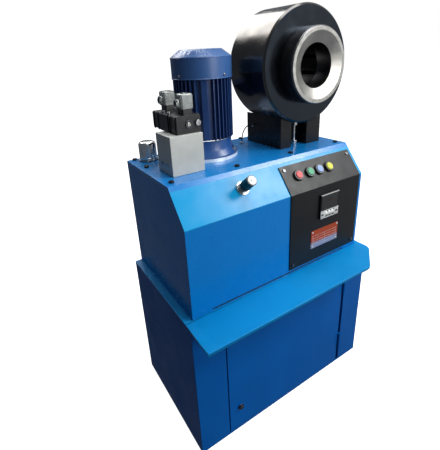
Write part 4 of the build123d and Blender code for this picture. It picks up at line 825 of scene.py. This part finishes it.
@dataclass
class Panel:
    """Small parts of the control panel: bezels, counter face, number strip and rivets.

    Attributes:
        button_along: Height of the buttons up the slope.
        bezel_r: Radius of a button's bezel.
        bezel_top: Height of the bezel's face above the housing's slope.
        cap_r: Radius of a button's lens.
        ribs: Grip ribs round a bezel.
        strip_w: Width of the pale strip round the thumbwheels.
        strip_half_h: Half of its height.
        wheel_half: Half the width of a wheel's window.
        window_rise: Middle of the counter's window above the counter's foot.
        preset: Plain figure on each thumbwheel.
        slope: Where the buttons stand.
    """

    button_along: float = 45.5
    bezel_r: float = 14.0
    bezel_top: float = 8.0
    cap_r: float = 10.5
    ribs: int = 24
    strip_w: float = 70.0
    strip_half_h: float = 10.5
    wheel_half: float = 4.6
    window_rise: float = 49.0
    preset: tuple[int, ...] = (3, 0, 5)
    slope: Slope = field(default_factory=Slope)

    def dress(self) -> None:
        """Add every small part of the panel."""
        self.buttons()
        self.counter_face()
        self.number_strip()
        self.rating()
        self.seal()

    def buttons(self) -> None:
        """Ribbed bezel rings and flat gaskets of the four buttons."""
        rings, gaskets = [], []
        for colour in ("red", "green", "blue", "yellow"):
            place = self.slope.place(centre(f"button_{colour}").x, self.button_along)
            rings.append(ring(self.bezel_r, self.cap_r + 0.35, self.bezel_top, self.bezel_top + 1.6,
                              place, 72, 1.0))
            for step in range(self.ribs):
                rib = place @ spin_about(360 * step / self.ribs)
                rib = rib @ shift(self.bezel_r - 0.1, 0.0, self.bezel_top - 2.2)
                rings.append(block((0.9, 1.2, 3.4), rib, 0.3, 1))
            gaskets.append(ring(self.bezel_r + 1.6, self.bezel_r - 1.0, 3.05, 3.9, place, 72, 0.3))
        add_piece("button_bezel_rings", Plastic.BLACK, rings)
        add_piece("button_gaskets", Plastic.RUBBER, gaskets)

    def counter_face(self) -> None:
        """Light top bar, window frame and dim figures of the preset counter."""
        low, high = box_mm("counter_case")
        front, x, width = low.y, (low.x + high.x) / 2, high.x - low.x
        bar = block((width * 0.96, 1.4, 2.2), stands(x, front - 0.3, high.z - 1.6), 0.5)
        add_piece("counter_top_bar", Metal.ALUMINIUM, [bar])
        bars, middle = [], low.z + self.window_rise
        for side in (-1, 1):
            upright = stands(x + side * (width / 2 - 3.6), front - 0.2, middle)
            bars.append(block((1.2, 0.9, 40.0), upright, 0.3))
            bars.append(block((width - 7, 0.9, 1.2), stands(x, front - 0.2, middle + side * 19.6), 0.3))
        add_piece("counter_window_frame", Plastic.BLACK, bars)
        display = figures("000", 11.0, 0.2, stands(x, front - 0.12, low.z + 52, Axis.FRONT))
        add_piece("counter_display_figures", Plastic.DISPLAY, [display])

    def number_strip(self) -> None:
        """Pale strip with the wheels' windows, its two keys and the wheels' figures."""
        low, high = box_mm("counter_case")
        front, x, z = low.y, (low.x + high.x) / 2, centre("thumbwheel_1").z
        wheels = [centre(f"thumbwheel_{i}").x for i in (1, 2, 3)]
        strips = [block((self.strip_w, 0.8, 2.6), stands(x, front - 0.3, z + side * self.strip_half_h), 0.2)
                  for side in (-1, 1)]
        edges = [w + side * self.wheel_half for w in wheels for side in (-1, 1)]
        edges = [x - self.strip_w / 2, *edges, x + self.strip_w / 2]
        for left, right in zip(edges[::2], edges[1::2]):
            strips.append(block((right - left, 0.8, self.strip_half_h * 2),
                                stands((left + right) / 2, front - 0.3, z), 0.2))
        keys = [block((8.0, 1.0, 5.0), stands(x + side, front - 0.7, z), 0.4) for side in (-28, 28)]
        add_piece("counter_number_strip", Plastic.GREY, strips)
        add_piece("counter_keys", Plastic.COIL, keys)
        for index, (wheel, value) in enumerate(zip(wheels, self.preset), start=1):
            figure = figures(str(value), 5.2, 0.2, stands(wheel, front - 1.25, z, Axis.FRONT))
            add_piece(f"wheel_{index}_figure", Plastic.INK, [figure], f"thumbwheel_{index}")

    def rating(self) -> None:
        """Drive rivets and ruled fields on the bare rating plate."""
        low, high = box_mm("rating_plate")
        width, height, face = high.x - low.x, high.z - low.z, low.y + 1.15
        rules = [block((width - 14, 0.16, 0.5), stands(low.x + width / 2, face, low.z + 8 + step * 7.6))
                 for step in range(5)]
        rules += [block((0.5, 0.16, 30.9), stands(low.x + across, face, low.z + 23.2))
                  for across in (7.0, width / 2, width - 7.0)]
        dome = [(0, 0), (2.9, 0.0), (2.9, 0.3), *arc((0.0, -1.0), 3.2, 22, 90)]
        rivets = [spun(dome, stands(low.x + across, low.y + 1.1, low.z + up, Axis.FRONT), 28)
                  for across in (5.0, width - 5.0) for up in (5.0, height - 5.0)]
        add_piece("rating_plate_rules", Plastic.PALE_INK, rules)
        add_piece("rating_plate_rivets", Metal.ALUMINIUM, rivets)

    def seal(self) -> None:
        """Foam seal that shows as a thin dark line round the panel."""
        low, high = box_mm("control_panel")
        strips = [block((1.6, 1.4, 218.0), stands(side, low.y + 3.4, 546.0))
                  for side in (low.x + 0.4, high.x - 0.4)]
        strips.append(block((high.x - low.x, 1.4, 1.6),
                            stands((low.x + high.x) / 2, low.y + 3.4, low.z + 0.4)))
        add_piece("panel_foam_seal", Plastic.RUBBER, strips)


@dataclass
class Adjuster:
    """Turned neck, lock nut and graduated disc of the pressure adjuster.

    Attributes:
        x: Its place along the front.
        along: Its place up the slope.
        disc_top: Face of the graduated disc above the slope.
        marks: Graduations round the disc.
        numbers: Plain figures round the disc.
        slope: Where it stands.
    """

    x: float = -113.0
    along: float = 55.0
    disc_top: float = 52.6
    marks: int = 30
    numbers: int = 6
    slope: Slope = field(default_factory=Slope)

    def dress(self) -> None:
        """Add the nut, the rings on the neck, the graduations and the middle screw."""
        place = self.slope.place(self.x, self.along)
        necks = [ring(10.2, 8.95, 8.0 + 2.2 * i, 9.2 + 2.2 * i, place, 48, 0.4) for i in range(3)]
        nut = disc(13.5, 4.4, place @ shift(0, 0, 3.05), 0.9, 6)
        add_piece("adjuster_lock_nut", Metal.ZINC, [nut, *necks])
        face = place @ shift(0, 0, self.disc_top)
        add_piece("adjuster_graduations", Plastic.INK, self.graduations(face), Body.ADJUSTER)
        add_piece("adjuster_middle_screw", Metal.ZINC, [disc(3.2, 0.9, face, 0.4, 32)], Body.ADJUSTER)
        add_piece("adjuster_knob_skirt", Plastic.BLACK, [ring(13.7, 11.0, 17.3, 19.6, place, 60, 0.6)],
                  Body.ADJUSTER)

    def graduations(self, face: Matrix) -> list[Shape]:
        """Lines and plain figures on the disc's face."""
        made = []
        for step in range(self.marks):
            start = 8.6 if step % 5 == 0 else 9.4
            turn = face @ spin_about(360 * step / self.marks)
            made.append(block((10.6 - start, 0.3, 0.12), turn @ shift((start + 10.6) / 2, 0, 0.02)))
        for step in range(self.numbers):
            turn = face @ spin_about(360 * step / self.numbers) @ shift(6.8, 0, 0)
            made.append(figures(str(step), 2.3, 0.1, turn @ spin_about(-90)))
        return made


@dataclass
class Motor:
    """Cowl screws, machined rings and terminal box fittings of the motor.

    Attributes:
        axis: Where the motor stands.
        cowl_r: Radius of the cowl.
        cowl_foot: Height of the cowl's lower edge.
        box_angle: Direction of the terminal box, in degrees from +X.
        box_reach: Lid of the terminal box from the motor's axis.
        box_middle: Height of the terminal box's middle.
    """

    axis: Spot = (-89.0, 125.0)
    cowl_r: float = 78.5
    cowl_foot: float = 941.0
    box_angle: float = 35.0
    box_reach: float = 105.0
    box_middle: float = 863.0

    def around(self, angle: float, radius: float, z: float) -> Matrix:
        """Place on the motor's skin whose Z points outward."""
        return shift(*self.axis, z) @ spin_about(angle) @ shift(radius, 0, 0) @ Axis.RIGHT.value

    def dress(self) -> None:
        """Add the small parts of the motor."""
        up, foot = shift(*self.axis, 0), self.cowl_foot
        add_piece("cowl_screws", Metal.ZINC, [
            disc(3.6, 2.0, self.around(a, self.cowl_r - 0.1, foot + 9), 0.9, 20)
            for a in (-75, 15, 105, 195)])
        add_piece("cowl_rolled_beads", Paint.COWL, [
            ring(79.3, 77.0, foot + 0.2, foot + 2.6, up, 120, 0.8),
            ring(79.0, 77.6, foot + 49.0, foot + 51.4, up, 120, 0.8)])
        add_piece("cowl_grille_rings", Paint.COWL, [
            ring(r, r - 1.6, 1010.4, 1011.3, up, 72, 0.3) for r in (18.0, 30.0, 42.0)])
        add_piece("end_shield_machined_rings", Metal.CAST, [
            ring(87.3, 84.6, 731.2, 732.4, up, 120, 0.5), ring(74.0, 70.5, 787.2, 789.6, up, 120, 0.6)])
        self.terminal_box()

    def terminal_box(self) -> None:
        """Lid seam, lid screws and cable gland of the terminal box."""
        lid = self.around(self.box_angle, self.box_reach - 4.0, self.box_middle)
        add_piece("terminal_box_gasket", Plastic.RUBBER, [block((75.2, 63.2, 0.9), lid, 0.2, 1)])
        add_piece("terminal_box_screws", Metal.ZINC, [
            disc(3.0, 1.8, lid @ shift(dx, dy, 4.0), 0.7, 20) for dx in (-31, 31) for dy in (-25, 25)])
        under = shift(*self.axis, 826.2) @ spin_about(self.box_angle) @ shift(self.box_reach - 17.0, 0, 0)
        under = Matrix.Translation(under.translation) @ spin_about(180, "X")
        add_piece("motor_cable_gland", Plastic.BLACK, [
            disc(10.5, 5.0, under, 0.8, 6), disc(8.0, 15.0, under, 2.5, 32)])


@dataclass
class Valve:
    """Coil nuts, bands, connector outlets and plugs of the directional valve.

    Attributes:
        spool: Side and height of the spool's axis.
        coils: Front and back faces of the two coils along Y.
        plug_x: Side plug's axis on the coils.
        hood_x: Middle of the connector hoods.
        hood_w: Width of a hood.
        block_plugs: Places of the plugs along the manifold block's left side.
    """

    spool: Spot = (-197.0, 850.0)
    coils: tuple[Spot, ...] = ((11.0, 55.0), (103.0, 147.0))
    plug_x: float = -174.0
    hood_x: float = -193.0
    hood_w: float = 30.0
    block_plugs: Spot = (30.0, 58.0)

    def dress(self) -> None:
        """Add the small parts of the valve."""
        x, z = self.spool
        nuts, pins, bands, plugs = [], [], [], []
        for (front, back), outward in zip(self.coils, (Axis.FRONT, Axis.BACK)):
            outer = front if outward is Axis.FRONT else back
            face, side = stands(x, outer, z, outward), stands(self.plug_x, outer, z + 2.0, outward)
            nuts.append(ring(9.5, 5.0, -0.2, 2.2, face, 60, 0.7))
            pins.append(disc(4.9, 2.6, face, 0.8, 32))
            plugs += [ring(6.8, 3.4, 3.8, 5.4, side, 40, 0.6), disc(3.6, 4.6, side, 0.3, 6)]
            bands += [block((66.6, 1.6, 42.6), stands(x, front + y, z), 0.5) for y in (9.0, 35.0)]
        add_piece("coil_nuts", Metal.DULL, nuts)
        add_piece("coil_bright_plugs", Metal.ZINC, plugs)
        add_piece("coil_override_pins", Metal.BRIGHT, pins)
        add_piece("coil_moulded_bands", Plastic.COIL, bands)
        self.connectors()
        recessed = []
        for y in self.block_plugs:
            face = stands(-252.0, y, 760.0, Axis.LEFT)
            recessed += [ring(7.5, 3.4, -0.4, 2.0, face, 40, 0.8), disc(3.6, 0.8, face, 0.2, 6)]
        add_piece("block_plugs", Metal.ZINC, recessed)

    def connectors(self) -> None:
        """Ribs, side outlets, inner boards, lamps and seals of the two clear connector hoods."""
        ribs, outlets, nuts, boards, seals, lamps = [], [], [], [], [], []
        x = self.hood_x
        for front, back in self.coils:
            y = (front + back) / 2
            ribs += [block((self.hood_w + 1.2, 1.6, 23.0), stands(x, y - 12 + step * 6, 901.5), 0.5)
                     for step in range(5)]
            outlets.append(block((8.0, 17.0, 17.0), stands(x - 18.0, y, 898), 1.6))
            nuts.append(disc(7.6, 2.4, stands(x - 21.6, y, 898, Axis.LEFT), 0.8, 6))
            boards.append(block((18.0, 20.0, 1.6), stands(x, y, 893), 0.2))
            boards += [block((6.0, 7.0, 9.0), stands(x + side, y + 2, 898), 0.8) for side in (-5, 5)]
            lamps.append(disc(2.2, 5.0, stands(x, y - 7, 894), 1.6, 20))
            seals.append(block((32.0, 32.0, 1.4), stands(x, y, 884.4), 0.6))
        add_piece("connector_ribs", Plastic.CLEAR, ribs)
        add_piece("connector_outlets", Plastic.CLEAR, outlets)
        add_piece("connector_cable_nuts", Plastic.BLACK, nuts)
        add_piece("connector_boards", Plastic.BLACK, boards)
        add_piece("connector_lamps", Plastic.WHITE, lamps)
        add_piece("connector_seals", Plastic.RUBBER, seals)


@dataclass
class Tank:
    """Seams, seals, a painted shadow in the drain slot and small fittings on the housing and the top plate.

    Attributes:
        side: Sides of the housing from its middle.
        weld_fronts: Where the foot welds start on the left and on the right.
        weld_back: Where they end.
        plate_top: Height of the top plate's face.
        lead_start: Where the sensor lead leaves the top plate.
    """

    side: float = 290.2
    weld_fronts: Spot = (-105.0, -60.0)
    weld_back: float = 214.0
    plate_top: float = 735.0
    lead_start: Spot = (52.0, 150.0)

    def dress(self) -> None:
        """Add the top plate's gasket, the painted shadow in the drain slot, the weld beads, the breather's
        trim and the lead.
        """
        low, high = box_mm("top_plate")
        seal = block((high.x - low.x - 1.0, high.y - low.y - 1.0, 1.0),
                     stands((low.x + high.x) / 2, (low.y + high.y) / 2, low.z + 0.1))
        add_piece("top_plate_gasket", Plastic.RUBBER, [seal])
        add_piece("housing_foot_welds", Paint.HOUSING, [
            bead((x, front, 420.4), (x, self.weld_back, 420.4), 1.6)
            for x, front in zip((-self.side, self.side), self.weld_fronts)])
        # Black strip behind the drain slot: painted shadow, standing in for the dark inside of the housing.
        add_piece("drain_slot_painted_shadow", Plastic.RUBBER, [
            block((470.0, 1.0, 9.0), stands(-1.0, -107.8, 424.7), 0.2)])
        self.breather()
        self.sensor()

    def breather(self) -> None:
        """Gasket, flange screws and rolled hem of the filler breather."""
        middle = centre("breather_base")
        up = shift(middle.x, middle.y, 0)
        add_piece("breather_gasket", Plastic.RUBBER, [
            ring(27.6, 15.0, self.plate_top + 0.05, self.plate_top + 1.2, up, 72, 0.3)])
        turns = [math.tau * i / 6 + 0.3 for i in range(6)]
        add_piece("breather_flange_screws", Metal.ZINC, [
            disc(2.3, 1.6, up @ shift(22.5 * math.cos(a), 22.5 * math.sin(a), 739), 0.6, 16)
            for a in turns])
        add_piece("breather_rolled_hem", Metal.CHROME, [ring(23.9, 22.0, 742.2, 744.4, up, 72, 0.6)],
                  Body.CAP)

    def sensor(self) -> None:
        """Small sensor lead between the top plate and the saddle, with its glands."""
        x, y = self.lead_start
        run = [(x, y, 734), (53, 150, 752), (62, 149, 778), (80, 148, 790), (95, 148, 786)]
        add_piece("sensor_lead", Plastic.RUBBER, [lead(run, 1.7)])
        foot = stands(x, y, self.plate_top)
        add_piece("sensor_glands", Metal.ZINC, [
            disc(5.0, 4.0, foot, 0.8, 6), disc(3.6, 8.0, foot, 1.0, 24),
            disc(4.4, 3.0, stands(94.1, 148, 786, Axis.LEFT), 0.8, 6)])


@dataclass
class Head:
    """Bright turned rim and cone on the nose of the crimping head.

    Attributes:
        cone: Skin of the throat's cone as an outline of radius and height over the nose's face.
    """

    cone: tuple[Spot, ...] = ((84.9, 0.15), (57.05, -11.85), (57.05, -12.4), (84.9, -0.4), (84.9, 0.15))

    def dress(self) -> None:
        """Add the rim and the cone."""
        axis = centre("head_body")
        nose = stands(axis.x, box_mm("nose_ring")[0].y, axis.z, Axis.FRONT)
        add_piece("nose_turned_rim", Metal.RIM, [ring(94.9, 86.0, -0.3, 0.3, nose, 160, 0.25)])
        add_piece("nose_turned_cone", Metal.CONE, [spun(self.cone, nose, 180)])


@dataclass
class Door:
    """Seal and lock trim of the cabinet door.

    Attributes:
        lock: Side and height of the lock's axis.
        seal_inset: Middle of the foam seal from the door's edges.
    """

    lock: Spot = (-182.0, 84.0)
    seal_inset: float = 13.0

    def dress(self) -> None:
        """Add the door's small parts."""
        low, high = box_mm("cabinet_door")
        x, z = (low.x + high.x) / 2, (low.z + high.z) / 2
        width, height = high.x - low.x, high.z - low.z
        strips = []
        for side in (-1, 1):
            across, up = side * (width / 2 - self.seal_inset), side * (height / 2 - self.seal_inset)
            strips.append(block((4.0, 3.0, height - 30), stands(x + across, low.y + 4.0, z), 0.8))
            strips.append(block((width - 30, 3.0, 4.0), stands(x, low.y + 4.0, z + up), 0.8))
        add_piece("door_foam_seal", Plastic.RUBBER, strips, Body.DOOR)
        lock_x, lock_z = self.lock
        rim = ring(9.0, 7.3, -0.3, 0.7, stands(lock_x, low.y - 2.2, lock_z, Axis.FRONT), 48, 0.3)
        add_piece("lock_escutcheon", Metal.DULL_CHROME, [rim], Body.DOOR)
        # Black mark on the lock's face: painted shade of the key slot's recess.
        slot = block((9.0, 1.2, 0.6), stands(lock_x, low.y - 6.15, lock_z, Axis.FRONT), 0.2, 1)
        add_piece("lock_key_slot_painted_shade", Plastic.INK, [slot], Body.LOCK)


# ------------------------------------------------------------------ studio
@dataclass
class Studio:
    """Pale floor, soft lights and the camera.

    Attributes:
        eye: Where the camera stands.
        heading: Degrees to the right of straight ahead.
        dip: Degrees below the horizon.
        roll: Degrees of tilt.
        lens_mm: Focal length on a 36 mm sensor.
        shift: Sideways and upward shift of the frame.
        target: Point that the lamps face.
        bright_side: Direction of the bright side of the surround.
    """

    eye: Point = (-0.567, -0.708, 1.003)
    heading: float = 32.08
    dip: float = 21.36
    roll: float = -2.77
    lens_mm: float = 28.69445
    shift: Spot = (-0.0038, -0.0825)
    target: Point = (0.05, 0.0, 0.6)
    bright_side: Point = (0.78, -0.42, 0.46)

    def build(self) -> None:
        """Make the floor, the lights, the sky and the camera."""
        self.floor()
        self.sky()
        self.softbox("top_softbox", (0.4, -0.2, 3.2), (1.6, 1.6), 48.0)
        self.softbox("slope_softbox", (1.55, -1.3, 2.3), (1.0, 0.9), 44.0)
        self.softbox("front_softbox", (0.8, -3.0, 1.5), (1.6, 1.6), 52.0)
        self.softbox("back_softbox", (0.25, 2.3, 2.6), (1.9, 1.0), 40.0)
        self.camera()

    def floor(self) -> None:
        """Wide pale floor under the machine."""
        mesh = bmesh.new()
        bmesh.ops.create_grid(mesh, x_segments=1, y_segments=1, size=60.0)
        data = bpy.data.meshes.new("floor")
        mesh.to_mesh(data)
        mesh.free()
        floor = new_object("floor", data)
        data.materials.append(Finish("pale_floor", "", "c4c4c4", "c0c0c0", 0.3, 800.0, roughness=0.8,
                                     grain_depth_mm=0.0, specular=0.0, glow=1.8).material())
        floor.visible_glossy = False
        floor.visible_diffuse = False

    def sky(self) -> None:
        """Pale surround, bright above and dim on the left, like a hall with roof lights."""
        world = bpy.data.worlds.new("surround")
        bpy.context.scene.world = world
        world.use_nodes = True
        tree = world.node_tree
        tree.nodes.clear()
        place = add_node(tree, "ShaderNodeTexCoord")
        towards = add_node(tree, "ShaderNodeVectorMath", {"operation": "DOT_PRODUCT"},
                           {0: place.outputs["Generated"], 1: self.bright_side})
        ramp = add_node(tree, "ShaderNodeValToRGB", None, {"Fac": towards.outputs["Value"]})
        for stop, (where, colour) in zip(ramp.color_ramp.elements, ((0.15, "565c66"), (0.9, "c8ccd0"))):
            stop.position, stop.color = where, linear(colour)
        light = add_node(tree, "ShaderNodeLightPath")
        seen = add_node(tree, "ShaderNodeMix", {"data_type": "RGBA"}, {
            "Factor": light.outputs["Is Camera Ray"], COLOUR_A: ramp.outputs["Color"],
            COLOUR_B: linear("ffffff"),
        })
        back = add_node(tree, "ShaderNodeBackground", None, {
            "Color": seen.outputs[COLOUR_OUT], "Strength": 1.0,
        })
        add_node(tree, "ShaderNodeOutputWorld", None, {"Surface": back.outputs["Background"]})

    def softbox(self, name: str, place: Point, size: Spot, power: float) -> None:
        """Large area light aimed at the machine."""
        lamp = bpy.data.lights.new(name, "AREA")
        lamp.shape = "RECTANGLE"
        lamp.size, lamp.size_y = size
        lamp.energy = power
        holder = new_object(name, lamp)
        holder.location = place
        holder.rotation_mode = "QUATERNION"
        holder.rotation_quaternion = (Vector(self.target) - Vector(place)).to_track_quat("-Z", "Y")

    def camera(self) -> None:
        """Camera with its axes worked out from heading, dip and roll."""
        turn, dip, roll = (math.radians(a) for a in (self.heading, self.dip, self.roll))
        ahead = Vector((math.sin(turn) * math.cos(dip), math.cos(turn) * math.cos(dip), -math.sin(dip)))
        level = Vector((math.cos(turn), -math.sin(turn), 0.0))
        upright = level.cross(ahead)
        right = level * math.cos(roll) + upright * math.sin(roll)
        up = upright * math.cos(roll) - level * math.sin(roll)
        glass = bpy.data.cameras.new("camera")
        glass.sensor_fit = "HORIZONTAL"
        glass.sensor_width = 36.0
        glass.lens = self.lens_mm
        glass.shift_x, glass.shift_y = self.shift
        glass.clip_start = 0.02
        holder = new_object("camera", glass)
        axes = Matrix((right, up, -ahead)).transposed().to_4x4()
        holder.matrix_world = Matrix.Translation(Vector(self.eye)) @ axes
        bpy.context.scene.camera = holder


def main() -> None:
    """Build the studio, dress the solids and add each sub-assembly's pieces."""
    logging.basicConfig(level=logging.INFO, format="%(message)s")
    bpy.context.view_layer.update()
    bpy.context.scene.view_settings.view_transform = "Standard"
    Studio().build()
    Solids().dress()
    for part in (Panel(), Adjuster(), Motor(), Valve(), Tank(), Head(), Door()):
        part.dress()


if __name__ == "__main__":
    main()
